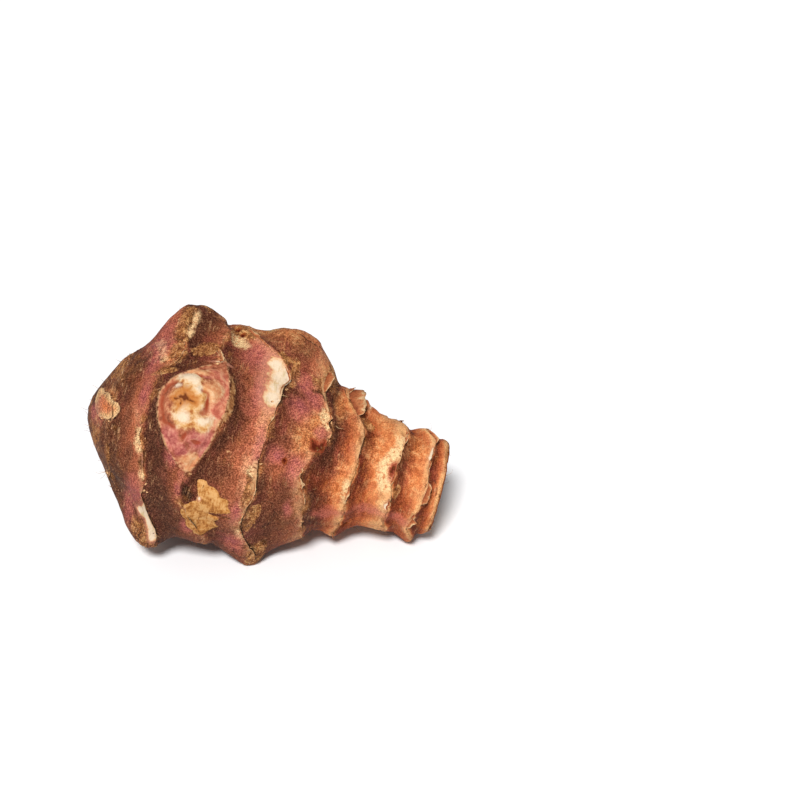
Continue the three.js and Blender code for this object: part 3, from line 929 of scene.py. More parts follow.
class Finish(Tree):
    """A material, with its noises by name."""

    def __init__(self, name, roughness=0.8, specular=0.05):
        self.material = bpy.data.materials.new(name)
        self.material.use_nodes = True
        super().__init__(self.material.node_tree)
        self.shader = self.tree.nodes["Principled BSDF"]
        self.place = self.add("ShaderNodeTexCoord").outputs["Object"]
        self.noises = {}
        self.set("Roughness", roughness)
        self.set("Specular IOR Level", specular)

    def set(self, name, value):
        """Feeds an input of the shader."""
        self.feed(self.shader.inputs[name], value)

    def field(self, name):
        """What add_field wrote."""
        return self.add("ShaderNodeAttribute", attribute_name=name).outputs["Fac"]

    def noise(self, name, size, detail=3.0, roughness=0.55, warp=0.0, place=None):
        """Noise from 0 to 1 with lumps of about that size in mm."""
        fed = {"Vector": place or self.place, "Scale": 1 / (size * MM), "Detail": detail,
               "Roughness": roughness, "Distortion": warp}
        self.noises[name] = self.add("ShaderNodeTexNoise", fed).outputs["Fac"]
        return self.noises[name]

    def shaken(self, value, **reaches):
        """The value with the noises named added, each to that reach on either side of 0."""
        for name, reach in reaches.items():
            value = self.plus(value, self.times(self.math("SUBTRACT", self.noises[name], 0.5), 2 * reach))
        return value

    def shifted(self, away):
        """The place moved, so that noise there doesn't repeat the noise here."""
        return self.vector("ADD", self.place, (away, away, away))

    def stretched(self, times):
        """The place squeezed across the axis, so that noise there runs in streaks round the tuber."""
        along = self.vector("DOT_PRODUCT", self.place, AXIS.tolist())
        kept = self.vector("SCALE", (AXIS * (1 - 1 / times)).tolist(), along)
        return self.vector("ADD", self.vector("SCALE", self.place, 1 / times), kept)

    def step(self, value, low, high):
        """0 below low and 1 above high, smooth between; falling if high is below low."""
        rising = float(low < high)
        fed = {"Value": value, "From Min": min(low, high), "From Max": max(low, high),
               "To Min": 1 - rising, "To Max": rising}
        return self.add("ShaderNodeMapRange", fed, interpolation_type="SMOOTHSTEP").outputs["Result"]

    def mask(self, name, low, high, **reaches):
        """0 where a field, shaken, is below low and 1 where it is above high."""
        return self.step(self.shaken(self.field(name), **reaches), low, high)

    def line(self, field, at, far, near):
        """1 where the field is near a value, 0 where it is far from it."""
        return self.step(self.math("ABSOLUTE", self.math("SUBTRACT", field, at)), far, near)

    def mix(self, share, a, b, blend="MIX"):
        fed = {0: share, 6: a, 7: b}
        return self.add("ShaderNodeMix", fed, data_type="RGBA", blend_type=blend).outputs[2]

    def over(self, base, tone, share, strength):
        """The base with a tone over it, as much as the share and the strength say."""
        return self.mix(self.times(share, strength), base, tone)

    def tinted(self, base, tint):
        """The base multiplied by a tint."""
        return self.mix(1.0, base, tint, "MULTIPLY")

    def blend(self, share, a, b):
        """Between two numbers."""
        return self.add("ShaderNodeMix", {0: share, 2: a, 3: b}, data_type="FLOAT").outputs[0]

    def ramp(self, value, stops):
        node = self.add("ShaderNodeValToRGB", {0: value})
        elements = node.color_ramp.elements
        while len(elements) < len(stops):
            elements.new(0.5)
        for element, (position, shade) in zip(elements, stops):
            element.position = position
            element.color = shade
        return node.outputs[0]

    def bump(self, height, distance, strength=1.0, onto=None):
        fed = {"Height": height, "Distance": distance * MM, "Strength": strength}
        if onto is not None:
            fed["Normal"] = onto
        return self.add("ShaderNodeBump", fed).outputs[0]


# Skin colours along a band, from the valley behind one scar edge to the crest at the next. The dark valley
# end holds painted shade and the pale crest end painted highlight, over the skin's own browns and pinks.
BAND = tones(
    (0.0, 78, 40, 32), (0.26, 108, 58, 46), (0.55, 150, 86, 66), (0.8, 190, 114, 90),
    (0.97, 230, 168, 142),
)
NECK = tones(
    (0.0, 86, 38, 24), (0.26, 132, 66, 42), (0.52, 190, 108, 70), (0.78, 230, 158, 114),
    (0.95, 250, 208, 164),
)
CORK = tones((0.3, 88, 50, 36), (0.45, 122, 74, 50), (0.56, 156, 100, 66), (0.7, 192, 140, 96))
TIP_TONES = tones((0.34, 74, 42, 30), (0.48, 120, 74, 52), (0.62, 170, 122, 82))
GOLD_TONES = tones((0.3, 112, 68, 44), (0.44, 156, 104, 66), (0.56, 190, 138, 90), (0.68, 222, 180, 132))
CREAM = colour(255, 226, 176)
# By how far inside the bud's edge.
BUD_TONES = tones((0.0, 240, 208, 160), (0.3, 236, 186, 132), (0.6, 226, 150, 108), (1.0, 222, 132, 84))
SCAB_TONES = tones((0.3, 164, 106, 54), (0.46, 212, 152, 86), (0.62, 238, 190, 128))
# By how far inside the peeled place.
PEELED_TONES = tones(
    (0.0, 206, 122, 102), (0.3, 226, 158, 130), (0.5, 244, 198, 156), (0.72, 252, 222, 186),
    (1.0, 255, 240, 218),
)
FLESH_TONES = tones((0.3, 222, 168, 116), (0.46, 242, 198, 150), (0.62, 253, 230, 196))
SCALE_TONES = tones((0.0, 146, 80, 54), (0.35, 184, 108, 72), (0.75, 212, 142, 98), (1.0, 246, 212, 168))
FLAKE_TONES = tones((0.35, 96, 58, 40), (0.5, 158, 108, 72), (0.62, 214, 168, 120))
FIBRE_TONES = tones((0.36, 84, 50, 32), (0.48, 142, 98, 62), (0.6, 206, 168, 124))
# How much darker than its name all of the skin is made, under the strong light, and how much
# yellower its brown parts are.
SHADE = (0.65, 0.585, 0.52, 1)
WARMTH = (1, 0.96, 0.8, 1)
NECK_WARMTH = (1.06, 0.92, 0.74, 1)
# Near black for cracks, holes and the scab's rim, and for painted shadow under torn edges and round the
# raised plates.
CRACK_AND_SHADOW = colour(38, 20, 12)
PLUM = colour(142, 66, 70)
LILAC = colour(190, 104, 112)
ROSE = colour(206, 118, 108)
NECK_PINK = colour(204, 120, 104)
HALO = colour(232, 168, 146)
NECK_HALO = colour(246, 190, 142)
PEACH_TONES = tones((0.32, 204, 122, 74), (0.5, 234, 160, 108), (0.66, 250, 202, 156))
TAN = colour(190, 134, 78)
RUST = colour(156, 78, 36)
LIP = colour(232, 188, 144)
# Painted shade for the low side, away from the light above.
DUSKY = colour(78, 48, 38)
LOW_SIDE_SHADE = colour(92, 58, 50)
WINE = colour(92, 28, 14)
OLIVE = colour(206, 184, 124)
SCUFF_PALE = colour(226, 182, 140)
SCUFF_DARK = colour(74, 38, 28)
HOLLOW = colour(112, 70, 30)
DARKER = (0.36, 0.29, 0.27, 1)
LIGHTER = (1.85, 1.78, 1.78, 1)
SPECK_DARK = colour(60, 24, 18)
SPECK_LIGHT = colour(232, 180, 146)
EYE_RIM_TONES = tones((0.35, 150, 84, 62), (0.5, 192, 116, 88), (0.65, 220, 156, 122))
# Pale scale with painted highlight, for the white lobes of the great eye.
EYE_PALE_SCALE_AND_HIGHLIGHT = colour(255, 244, 224)
EYE_RUST = colour(166, 72, 46)
EYE_ORANGE = colour(202, 122, 50)
EYE_DARK = colour(104, 42, 12)
# The lobes' tones: name, softness of the edge, and tones.
EYE_TONES = [
    ("lilac", 0.45, tones((0.35, 168, 84, 84), (0.5, 206, 122, 116), (0.65, 232, 166, 148))),
    ("rose", 0.45, tones((0.35, 198, 106, 88), (0.5, 226, 138, 116), (0.65, 240, 176, 144))),
    ("peach", 0.4, tones((0.3, 214, 134, 92), (0.5, 238, 176, 130), (0.68, 252, 214, 174))),
    ("cream", 0.3, tones(
        (0.3, 200, 128, 66), (0.43, 228, 176, 112), (0.54, 244, 206, 154), (0.68, 253, 230, 196),
    )),
]
# Marks on the lobes: name, raggedness, from and to in their field, strength and tone.
EYE_MARKS = [
    ("arc", 1.7, 0.1, 0.9, 0.78, EYE_RUST),
    ("crack", 1.6, -1.9, 0.5, 0.8, EYE_ORANGE),
    ("crack", 1.1, 0.2, 0.9, 0.9, EYE_DARK),
    ("pit", 1.0, -0.25, 0.4, 0.85, EYE_RUST),
]


def skin_finish():
    """The skin's material, built up from its base colours to the smallest marks."""
    f = Finish("tuber_skin")
    ring = f.field("ring")
    f.noise("broad", 10, 2, 0.5)
    patches = f.noise("patches", 4.4, 5, 0.62, 0.5)
    blush = f.noise("blush", 6.0, 3, 0.55, 0.3, f.shifted(0.21))
    medium = f.noise("medium", 2.0, 4, 0.62, 0.4)
    small = f.noise("small", 0.75, 3, 0.6)
    dots = f.noise("dots", 0.3, 2, 0.75)
    streaks = f.noise("streaks", 0.7, 4, 0.62, 0.4, f.stretched(6.0))
    lines = f.noise("lines", 0.34, 2, 0.6, 0.8, f.stretched(7.0))

    # The band's colours, with their painted valley shade and crest highlight, shaken so that they don't run
    # in straight lines.
    towards_neck = f.step(f.shaken(ring, broad=2.4), 3.6, 5.2)
    tone = f.shaken(f.field("tone"), broad=0.25, medium=0.25, streaks=0.18)
    base = f.mix(towards_neck, f.ramp(tone, BAND), f.ramp(tone, NECK))

    # Blushes of plum and rose on the smooth skin.
    base = f.over(base, PLUM, f.step(blush, 0.5, 0.64), 0.38)
    base = f.over(base, ROSE, f.step(blush, 0.45, 0.32), 0.28)

    # Corky patches, and rusty and tan streaks that run round the tuber.
    pink = f.mask("pink", -0.6, 0.7, medium=0.8)
    cork = f.step(f.shaken(patches, streaks=0.25), 0.54, 0.74)
    cork = f.times(cork, f.blend(pink, 1.0, 0.3))
    base = f.over(base, f.ramp(f.shaken(blush, medium=0.5), CORK), cork, f.blend(towards_neck, 0.5, 0.22))
    towards_tip = f.step(f.shaken(ring, broad=1.6), 0.9, -0.1)
    base = f.over(base, f.ramp(f.shaken(streaks, medium=0.3), TIP_TONES), towards_tip, 0.6)
    streaky = f.blend(f.most(cork, towards_neck, towards_tip), 0.12, 0.34)
    base = f.over(base, TAN, f.step(streaks, 0.54, 0.68), streaky)
    base = f.over(base, RUST, f.step(streaks, 0.45, 0.33), streaky)

    # Painted shade underneath, on the side away from the light; then the dark, peach, golden and cream
    # places.
    base = f.over(base, LOW_SIDE_SHADE, f.field("low"), 0.5)
    base = f.over(base, DUSKY, f.mask("dusk", -0.7, 0.7, medium=0.8), 0.6)
    peach = f.mask("peach", -0.8, 0.8, medium=0.9)
    base = f.over(base, f.ramp(f.shaken(medium, small=0.2), PEACH_TONES), peach, 0.75)
    gold = f.mask("gold", -0.08, 0.16, medium=0.5, small=0.35)
    at_edge = f.step(f.shaken(f.math("PINGPONG", ring, 0.5), medium=0.12, patches=0.3), 0.08, -0.02)
    gold = f.most(gold, f.times(at_edge, 0.8))
    base = f.over(base, f.ramp(f.shaken(medium, small=0.3), GOLD_TONES), gold, 0.85)
    base = f.tinted(base, f.mix(towards_neck, WARMTH, NECK_WARMTH))
    cream = f.mask("cream", -0.9, 0.4, medium=0.7, small=0.5)
    base = f.mix(cream, base, f.mix(f.step(small, 0.32, 0.52), f.ramp(medium, PEACH_TONES), CREAM))

    # The bud near the tip, the pink places, the cracks and holes, and painted shadow round the raised
    # plates.
    bud = f.shaken(f.field("bud"), medium=0.4, small=0.2)
    base = f.mix(f.step(bud, -0.1, 0.15), base, f.ramp(f.step(bud, 0.0, 2.4), BUD_TONES))
    broken = f.step(medium, 0.58, 0.44)
    base = f.over(base, CRACK_AND_SHADOW, f.times(f.line(bud, -0.2, 0.25, 0.1), broken), 0.7)
    pink_tone = f.mix(f.step(medium, 0.38, 0.62), f.mix(towards_neck, LILAC, NECK_PINK), ROSE)
    base = f.over(base, pink_tone, pink, 0.68)
    # Painted shadow: a broken dark line just outside the edge of each raised plate.
    plate_rim_shadow = f.line(f.shaken(f.field("plate"), small=0.1), -0.05, 0.08, 0.03)
    base = f.over(base, CRACK_AND_SHADOW, f.times(plate_rim_shadow, broken), 0.7)
    hole = f.mask("hole", -0.5, 0.5, small=0.5)
    base = f.over(base, f.mix(f.step(medium, 0.4, 0.6), CRACK_AND_SHADOW, HOLLOW), hole, 0.85)

    # Thin pale and dark scuffs, most of them on the cork.
    scuffed = f.most(cork, gold, towards_tip)
    scuffs = f.shaken(lines, patches=0.14)
    base = f.over(base, SCUFF_PALE, f.step(scuffs, 0.6, 0.68), f.blend(scuffed, 0.2, 0.65))
    base = f.over(base, SCUFF_DARK, f.step(scuffs, 0.4, 0.32), f.blend(scuffed, 0.2, 0.6))

    # Fine grain: dark and light specks, stronger on the cork.
    corky = f.most(cork, gold)
    on_neck = f.blend(f.step(tone, 0.66, 0.3), 0.36, 0.8)
    dark_share = f.blend(towards_neck, f.blend(corky, 0.78, 0.88), on_neck)
    darker = f.over(base, f.tinted(base, DARKER), f.step(f.shaken(dots, small=0.08), 0.54, 0.38), dark_share)
    lighter = f.mix(0.2, f.tinted(base, LIGHTER), SPECK_LIGHT)
    light = f.step(f.shaken(dots, small=0.06), 0.5, 0.62)
    base = f.over(darker, lighter, light, f.blend(towards_neck, 0.7, 0.45))

    # Scab, and peeled places that pale from rose at the edge to cream.
    scab_field = f.shaken(f.field("scab"), small=0.08)
    scab = f.step(scab_field, -0.03, 0.03)
    base = f.mix(scab, base, f.ramp(f.shaken(medium, small=0.3, lines=0.3), SCAB_TONES))
    base = f.over(base, CRACK_AND_SHADOW, f.times(f.line(scab_field, 0, 0.1, 0.03), f.step(medium, 0.56, 0.42)), 0.7)
    peeled_field = f.shaken(f.field("peeled"), medium=0.25, small=0.3)
    base = f.over(base, f.mix(towards_neck, HALO, NECK_HALO), f.step(peeled_field, -0.9, 0.0), 0.45)
    peeled = f.step(peeled_field, -0.1, 0.06)
    pale = f.ramp(f.step(peeled_field, -0.2, 0.5), PEELED_TONES)
    base = f.mix(peeled, base, f.over(pale, OLIVE, f.step(streaks, 0.5, 0.66), 0.5))

    base = edge_finish(f, base, ring)
    base = great_eye_finish(f, base, medium)
    base = small_eye_finish(f, base)
    base = cut_finish(f, base, medium)

    f.set("Base Color", f.tinted(base, SHADE))
    f.set("Roughness", f.blend(f.most(peeled, scab), f.blend(small, 0.5, 0.8), 0.62))
    normal = f.bump(dots, 0.14, f.blend(corky, 0.45, 0.9))
    f.set("Normal", f.bump(f.plus(small, streaks), 0.3, 0.5, normal))
    return f.material


def edge_finish(f, base, ring):
    """The papery lip of each torn edge, and the painted shadow in the crack behind it."""
    share = f.math("FRACT", ring)
    crisp = f.field("crisp")
    on_lip = f.times(
        f.step(f.shaken(share, medium=0.12), 0.9, 0.99),
        f.step(f.shaken(crisp, small=0.9), 0.55, 0.95),
    )
    base = f.over(base, LIP, on_lip, 0.7)
    # Painted shadow under the torn lip: a wide dark band where the edge is crisp, and a thin dark line where
    # it is torn a little.
    wide_edge_shadow = f.times(f.step(share, 0.08, 0.03), f.step(f.shaken(crisp, small=0.6), 0.5, 0.95))
    base = f.over(base, CRACK_AND_SHADOW, wide_edge_shadow, 0.7)
    thin_edge_shadow = f.times(
        f.step(f.shaken(share, small=0.02), 0.03, 0.012),
        f.step(f.shaken(crisp, small=0.7), 0.2, 0.45),
    )
    return f.over(base, CRACK_AND_SHADOW, thin_edge_shadow, 0.9)


def great_eye_finish(f, base, medium):
    """The bud inside its scar: cream in the middle with brown cracks, rose at the sides."""
    depth = f.field("scar")
    tone = f.shaken(medium, small=0.25)
    bud = f.ramp(tone, EYE_RIM_TONES)
    for name, soft, lobe_tones in EYE_TONES:
        lobe = f.mask("eye_" + name, -soft, soft, medium=0.4, small=0.3)
        bud = f.mix(lobe, bud, f.ramp(tone, lobe_tones))
    # The white lobes: pale scales brightened with painted highlight.
    white = f.mask("eye_white", -0.5, 0.5, medium=0.4, small=0.3)
    bud = f.over(bud, EYE_PALE_SCALE_AND_HIGHLIGHT, white, 0.85)
    bud = f.over(bud, SPECK_LIGHT, f.step(f.noises["dots"], 0.5, 0.7), 0.25)
    for name, shake, low, high, strength, mark_tone in EYE_MARKS:
        mark = f.shaken(f.field("eye_" + name), medium=0.4 * shake, small=0.3 * shake)
        bud = f.over(bud, mark_tone, f.step(mark, low, high), strength)
    fringe = f.shaken(f.field("eye_fringe"), medium=0.4, small=0.3, dots=0.3)
    base = f.over(base, f.ramp(f.plus(tone, 0.06), GOLD_TONES), f.step(fringe, 0.1, 0.5), 0.9)
    base = f.mix(f.step(depth, 0.0, 0.3), base, bud)
    lip_here = f.step(f.shaken(f.noises["small"], medium=0.8), 0.35, 0.6)
    return f.over(base, LIP, f.times(f.line(depth, 0.1, 0.42, 0.1), lip_here), 0.6)


def small_eye_finish(f, base):
    """Rusty at the edge, and nearly black in the pit."""
    away = f.shaken(f.field("small_eye"), small=1.1)
    base = f.over(base, RUST, f.step(away, 1.7, 0.9), 0.85)
    base = f.mix(f.step(away, 1.0, 0.55), base, WINE)
    pit = f.shaken(f.field("pit"), medium=0.8, small=0.9)
    base = f.over(base, EYE_RUST, f.step(pit, -0.6, -0.1), 0.8)
    pit_tone = f.mix(f.step(f.noises["small"], 0.5, 0.66), WINE, HOLLOW)
    return f.over(base, pit_tone, f.step(pit, -0.1, 0.4), 0.9)


def cut_finish(f, base, medium):
    """The dried cut: pale flesh with fibres, browner towards the skin."""
    edge = f.mask("cut_reach", 0.8, 0.98, small=0.1)
    flesh = f.mix(edge, f.ramp(medium, FLESH_TONES), RUST)
    return f.mix(f.step(f.field("cut"), 0.4, 0.6), base, flesh)


# ---------------------------------------------------------------- torn scales, flakes and fibres

# Torn scales still standing at the rings: ring, first and last angle, length in mm, lift in degrees.
PLACED_SCALES = [
    (4, -16, 2, 2.6, 30), (3, -24, -8, 1.6, 25), (5, -33, 7, 4.4, 9), (2, 2, 12, 1.6, 14),
    (1, -8, 8, 1.2, 22), (1, 50, 64, 1.0, 30), (0, 20, 42, 1.2, 24), (0, 70, 84, 1.0, 30),
    (3, 30, 42, 0.8, 12), (5, -30, -14, 1.8, 22), (5, 70, 84, 1.2, 22), (6, 8, 24, 1.4, 26),
    (6, 78, 92, 1.1, 26), (7, 52, 78, 2.2, 40), (7, -20, 6, 1.4, 30), (4, 60, 76, 1.0, 22),
    (2, 96, 118, 1.0, 18),
]
SCALE_SEED = 211
DRAWN_SCALES = 46
SCALE_STEPS_ROUND = 24
SCALE_STEPS_OUT = 5
SCALE_THICK = 0.09
SCALE_RAGGED = [(0.38, 1.5, 60), (0.25, 0.6, 160)]
# How far behind its ring's crest a scale is rooted, in rings, and how deep, in mm.
SCALE_BEHIND = 0.035
SCALE_SUNK = 0.12
FLAKE_FLATNESS = (0.5, 0.32, 0.05)
FIBRE_POINTS = 6

# Densities are per square metre, where the field is 1. Lengths and thicknesses are in mm, and Bend is a
# share of the length.
FLAKE_SIZES = {"Density": 150000.0, "Smallest": 0.35, "Largest": 1.1, "Seed": 4}
FUZZ_SIZES = {
    "Density": 1000000.0, "Shortest": 0.3, "Longest": 1.0, "Thickness": 0.03, "Bend": 0.9, "Seed": 12,
}
HAIR_SIZES = {
    "Density": 34000.0, "Shortest": 0.7, "Longest": 3.2, "Thickness": 0.06, "Bend": 1.3, "Seed": 23,
}


def drawn_scales():
    """More torn scales, spread over all the rings and sides."""
    numbers = drawn_numbers(SCALE_SEED)
    made = []
    for _ in range(DRAWN_SCALES):
        ring = int(next(numbers) * 8)
        start = 360 * next(numbers)
        span = 5 + 16 * next(numbers)
        made.append((ring, start, start + span, 0.5 + 1.1 * next(numbers), 8 + 26 * next(numbers)))
    return made


def scale_top(number, ring, first, last, length, lift):
    """The upper face of a scale, as rows of points from its root out to its ragged end."""
    across = np.linspace(0, 1, SCALE_STEPS_ROUND + 1)
    out = np.linspace(0, 1, SCALE_STEPS_OUT + 1)
    angle = np.radians(first + (last - first) * across)
    root, _ = skin_surface(np.full(len(across), ring - SCALE_BEHIND), angle)
    outwards = outwards_at(angle)
    wild = min(1, (1.8 / length) ** 2)
    ragged = 1 + wild * (grains(root, SCALE_RAGGED, number) - 0.38)
    reach = length * (1 - np.abs(2 * across - 1) ** 2.4) ** 0.6 * np.clip(ragged, 0.15, 1.3)
    ahead = AXIS * cos(radians(lift)) + outwards * sin(radians(lift))
    run = reach[:, None] * out
    curl = 0.16 * wild * grain(root, 2.5, 260 + number)[:, None] * run ** 2 / max(length, 0.5)
    rise = curl - SCALE_SUNK * (1 - out)
    top = root[:, None] + ahead[:, None] * run[..., None] + outwards[:, None] * rise[..., None]
    return top + TIP_PLACE + 0.09 * grain(top, 0.8, 77)[..., None] * outwards[:, None], outwards, out


def leaf_faces(above, below):
    """The faces of a closed leaf between two grids of point numbers, all of them outward."""
    tops = np.stack([above[1:, :-1], above[1:, 1:], above[:-1, 1:], above[:-1, :-1]], -1)
    undersides = np.stack([below[:-1, 1:], below[1:, 1:], below[1:, :-1], below[:-1, :-1]], -1)
    sides = [[*grid[:, 0], *grid[-1, 1:], *grid[-2::-1, -1], *grid[0, -2:0:-1]] for grid in (above, below)]
    rim, under = np.array(sides)
    sides = np.stack([under, np.roll(under, -1), np.roll(rim, -1), rim], -1)
    return np.concatenate([tops.reshape(-1, 4), undersides.reshape(-1, 4), sides]).tolist()


def build_scales():
    """Thin closed leaves of dead scale, each rooted just behind the crest of its ring."""
    points, faces, reaches = [], [], []
    for number, scale in enumerate(PLACED_SCALES + drawn_scales()):
        top, outwards, out = scale_top(number, *scale)
        bottom = top - outwards[:, None] * (SCALE_THICK * (1 - 0.7 * out))[None, :, None]
        above = len(points) + np.arange(top[..., 0].size).reshape(top.shape[:2])
        points.extend([*top.reshape(-1, 3), *bottom.reshape(-1, 3)])
        faces.extend(leaf_faces(above, above + above.size))
        reaches.extend(np.tile(out, 2 * len(top)))
    points = np.array(points)
    points[:, 2] = np.maximum(points[:, 2], 0.02)
    mesh = smooth_mesh("tuber_scales", points, faces)
    add_field(mesh, "reach", reaches)
    return linked(mesh)


class Growth(Tree):
    """A geometry tree that grows small pieces out of the skin."""

    def __init__(self, name, sizes):
        super().__init__(bpy.data.node_groups.new(name, "GeometryNodeTree"))
        self.name = name
        self.tree.interface.new_socket("Skin", in_out="INPUT", socket_type="NodeSocketGeometry")
        self.values = {}
        for size, value in sizes.items():
            kind = "NodeSocketInt" if isinstance(value, int) else "NodeSocketFloat"
            socket = self.tree.interface.new_socket(size, in_out="INPUT", socket_type=kind)
            self.values[socket.identifier] = value
        self.tree.interface.new_socket("Grown", in_out="OUTPUT", socket_type="NodeSocketGeometry")
        self.given = self.add("NodeGroupInput").outputs

    def random_size(self, low, high, seed):
        """A random size between two inputs given in mm."""
        fed = {2: self.times(self.given[low], MM), 3: self.times(self.given[high], MM), "Seed": seed}
        return self.add("FunctionNodeRandomValue", fed, data_type="FLOAT").outputs[1]

    def leaned(self, direction, reach, seed):
        """The direction with a random one, up to that reach each way, added."""
        fed = {0: (-reach,) * 3, 1: (reach,) * 3, "Seed": seed}
        random = self.add("FunctionNodeRandomValue", fed, data_type="FLOAT_VECTOR").outputs[0]
        return self.vector("ADD", direction, random)

    def scattered(self, field):
        """Points on the skin, as close as the field says."""
        near = self.add("GeometryNodeInputNamedAttribute", {"Name": field}, data_type="FLOAT")
        density = self.times(near.outputs["Attribute"], self.given["Density"])
        fed = {"Mesh": self.given["Skin"], "Density": density, "Seed": self.given["Seed"]}
        node = self.add("GeometryNodeDistributePointsOnFaces", fed)
        return node.outputs["Points"], node.outputs["Normal"]

    def turned(self, axis, vector, onto=None):
        """A rotation that turns an axis to a vector; after another one, only about its Z."""
        node = self.add("FunctionNodeAlignRotationToVector", {"Vector": vector}, axis=axis)
        if onto is not None:
            node.pivot_axis = "Z"
            self.feed(node.inputs["Rotation"], onto)
        return node.outputs[0]

    def placed(self, points, piece, rotation, scale):
        """A copy of the piece at each point."""
        fed = {"Points": points, "Instance": piece, "Rotation": rotation, "Scale": scale}
        node = self.add("GeometryNodeInstanceOnPoints", fed)
        return self.add("GeometryNodeRealizeInstances", {0: node.outputs[0]}).outputs[0]

    def jittered(self, geometry, lump, reach):
        """The geometry moved by a noise vector about 0, with lumps of about that size in mm."""
        noise = self.add("ShaderNodeTexNoise", {"Scale": 1 / (lump * MM)})
        jitter = self.vector("SUBTRACT", noise.outputs["Color"], (0.5, 0.5, 0.5))
        fed = {"Geometry": geometry, "Offset": self.vector("SCALE", jitter, reach)}
        return self.add("GeometryNodeSetPosition", fed).outputs[0]

    def grow(self, geometry, skin, material):
        """The tree's result on the skin, as a plain object."""
        given = self.add("GeometryNodeSetMaterial", {"Geometry": geometry, "Material": material})
        self.feed(self.add("NodeGroupOutput").inputs[0], given.outputs[0])
        host = bpy.data.objects.new(self.name + "_host", skin.data)
        bpy.context.scene.collection.objects.link(host)
        modifier = host.modifiers.new(self.name, "NODES")
        modifier.node_group = self.tree
        for identifier, value in self.values.items():
            modifier[identifier] = value
        graph = bpy.context.evaluated_depsgraph_get()
        mesh = bpy.data.meshes.new_from_object(host.evaluated_get(graph))
        mesh.name = self.name
        bpy.data.objects.remove(host)
        return linked(mesh)


def build_flakes(skin, material):
    """Small loose flakes of cork, most of them at the torn edges."""
    g = Growth("tuber_flakes", FLAKE_SIZES)
    points, normal = g.scattered("flaky")
    ball = g.add("GeometryNodeMeshIcoSphere", {"Radius": 1, "Subdivisions": 2})
    flat = g.add("GeometryNodeTransform", {"Geometry": ball.outputs["Mesh"], "Scale": FLAKE_FLATNESS})
    lean = g.leaned(normal, 0.5, 3)
    rotation = g.turned("X", g.leaned(AXIS.tolist(), 0.9, 5), g.turned("Z", lean))
    size = g.random_size("Smallest", "Largest", 7)
    flakes = g.placed(points, flat.outputs[0], rotation, size)
    return g.grow(g.jittered(flakes, 0.5, 0.5 * MM), skin, material)


def build_fibres(name, field, sizes, skin, material):
    """Tapering fibres with random bends."""
    g = Growth(name, sizes)
    points, normal = g.scattered(field)
    line = g.add("GeometryNodeCurvePrimitiveLine", {"End": (0, 0, 1)})
    parts = g.add("GeometryNodeResampleCurve", {"Curve": line.outputs[0], "Count": FIBRE_POINTS})
    size = g.random_size("Shortest", "Longest", 7)
    curves = g.placed(points, parts.outputs[0], g.turned("Z", g.leaned(normal, 0.9, 3)), size)
    along = g.add("GeometryNodeSplineParameter")
    curves = g.jittered(curves, 1.6, g.times(along.outputs["Length"], g.given["Bend"]))
    radius = g.times(g.given["Thickness"], MM)
    section = g.add("GeometryNodeCurvePrimitiveCircle", {"Resolution": 3, "Radius": radius})
    fed = {
        "Curve": curves,
        "Profile Curve": section.outputs[0],
        "Scale": g.math("SUBTRACT", 1.0, g.times(along.outputs["Factor"], 0.8)),
        "Fill Caps": True,
    }
    return g.grow(g.add("GeometryNodeCurveToMesh", fed).outputs[0], skin, material)


def scale_finish():
    """Dead scale: skin brown at the root, papery tan at the torn end."""
    f = Finish("torn_scale", 0.75)
    f.noise("medium", 1.8, 4, 0.6)
    dots = f.noise("dots", 0.3, 2, 0.65)
    base = f.ramp(f.shaken(f.field("reach"), medium=0.9), SCALE_TONES)
    base = f.over(base, SPECK_DARK, f.step(dots, 0.5, 0.34), 0.5)
    f.set("Base Color", f.tinted(base, SHADE))
    f.set("Normal", f.bump(dots, 0.1, 0.6))
    return f.material


def loose_finish(name, tones_of_pieces):
    """Flakes and fibres, each of a slightly different tone."""
    f = Finish(name)
    f.set("Base Color", f.ramp(f.noise("tone", 1.4, 2, 0.6), tones_of_pieces))
    return f.material


# ---------------------------------------------------------------- the floor, the light and the camera

FLOOR_WIDTH = 4.0
FLOOR_HEIGHT = -0.00005
FLOOR_COLOUR = (0.8, 0.8, 0.81, 1)
KEY_ELEVATION = 53
KEY_AZIMUTH = -8
KEY_SPREAD = 14
KEY_STRENGTH = 4.25
WORLD_STRENGTH = 0.3
CAMERA_TARGET = (31.0, 4.5, 31.8)
CAMERA_ELEVATION = 35
CAMERA_DISTANCE = 450
CAMERA_LENS = 85


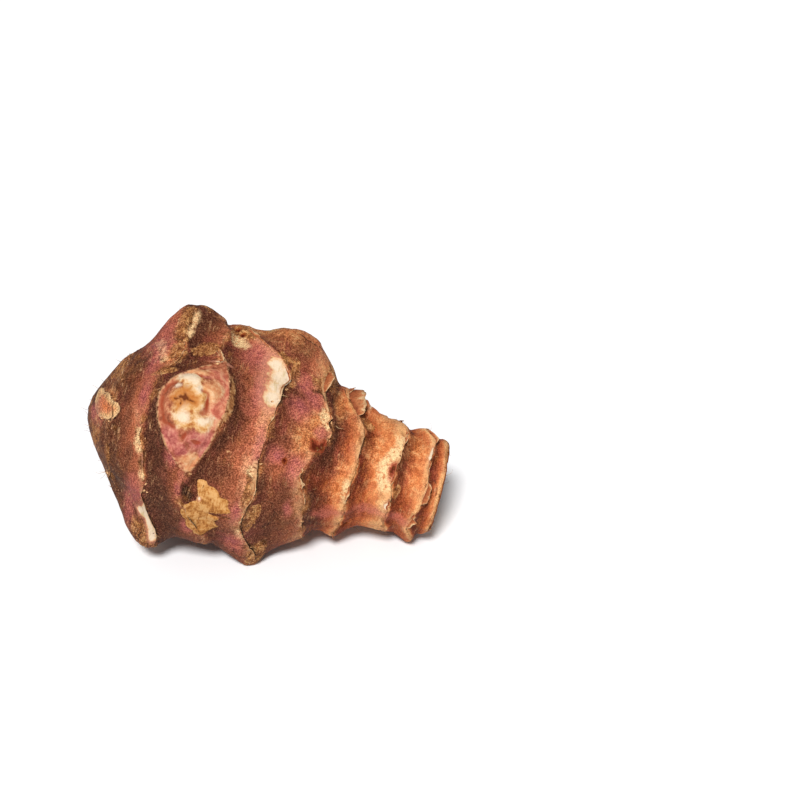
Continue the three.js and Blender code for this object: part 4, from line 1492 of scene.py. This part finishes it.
def build_floor():
    """A plain pale floor, a hair below the tuber."""
    half = FLOOR_WIDTH / 2
    mesh = bpy.data.meshes.new("floor")
    corners = [(-half, -half), (half, -half), (half, half), (-half, half)]
    mesh.from_pydata([(x, y, FLOOR_HEIGHT) for x, y in corners], [], [(0, 1, 2, 3)])
    f = Finish("floor", 0.7, 0.5)
    f.set("Base Color", FLOOR_COLOUR)
    mesh.materials.append(f.material)
    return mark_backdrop(linked(mesh))


def aimed(thing, place, target):
    """Puts a light or a camera into the scene, looking at the target."""
    thing.location = place
    thing.rotation_euler = (Vector(target) - Vector(place)).to_track_quat("-Z", "Y").to_euler()
    bpy.context.scene.collection.objects.link(thing)


def build_lights():
    """One soft sun from above and a pale sky."""
    key = bpy.data.lights.new("key", "SUN")
    key.angle = radians(KEY_SPREAD)
    key.energy = KEY_STRENGTH
    rise, turn = radians(KEY_ELEVATION), radians(KEY_AZIMUTH)
    place = Vector((cos(rise) * sin(turn), -cos(rise) * cos(turn), sin(rise)))
    aimed(bpy.data.objects.new("key", key), place, (0, 0, 0))
    world = bpy.data.worlds.new("studio")
    world.use_nodes = True
    background = world.node_tree.nodes["Background"]
    background.inputs["Color"].default_value = (1, 1, 1, 1)
    background.inputs["Strength"].default_value = WORLD_STRENGTH
    bpy.context.scene.world = world


def build_camera():
    """The camera, looking down at the tuber from the front."""
    camera = bpy.data.cameras.new("camera")
    camera.lens = CAMERA_LENS
    camera.sensor_width = 36
    rise = radians(CAMERA_ELEVATION)
    target = Vector(CAMERA_TARGET) * MM
    place = target + Vector((0, -cos(rise), sin(rise))) * CAMERA_DISTANCE * MM
    made = bpy.data.objects.new("camera", camera)
    aimed(made, place, target)
    bpy.context.scene.camera = made
    bpy.context.scene.view_settings.view_transform = "Standard"


def main():
    skin = build_skin()
    skin.data.materials.append(skin_finish())
    scales = build_scales()
    scales.data.materials.append(scale_finish())
    flakes = build_flakes(skin, loose_finish("cork_flake", FLAKE_TONES))
    fibre = loose_finish("root_fibre", FIBRE_TONES)
    fuzz = build_fibres("tuber_fuzz", "flaky", FUZZ_SIZES, skin, fibre)
    hairs = build_fibres("tuber_hairs", "hairy", HAIR_SIZES, skin, fibre)
    for piece in [skin, scales, flakes, fuzz, hairs]:
        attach(piece, "root")
        print(piece.name, len(piece.data.polygons), "faces")
    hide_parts("tuber")
    build_floor()
    build_lights()
    build_camera()


main()
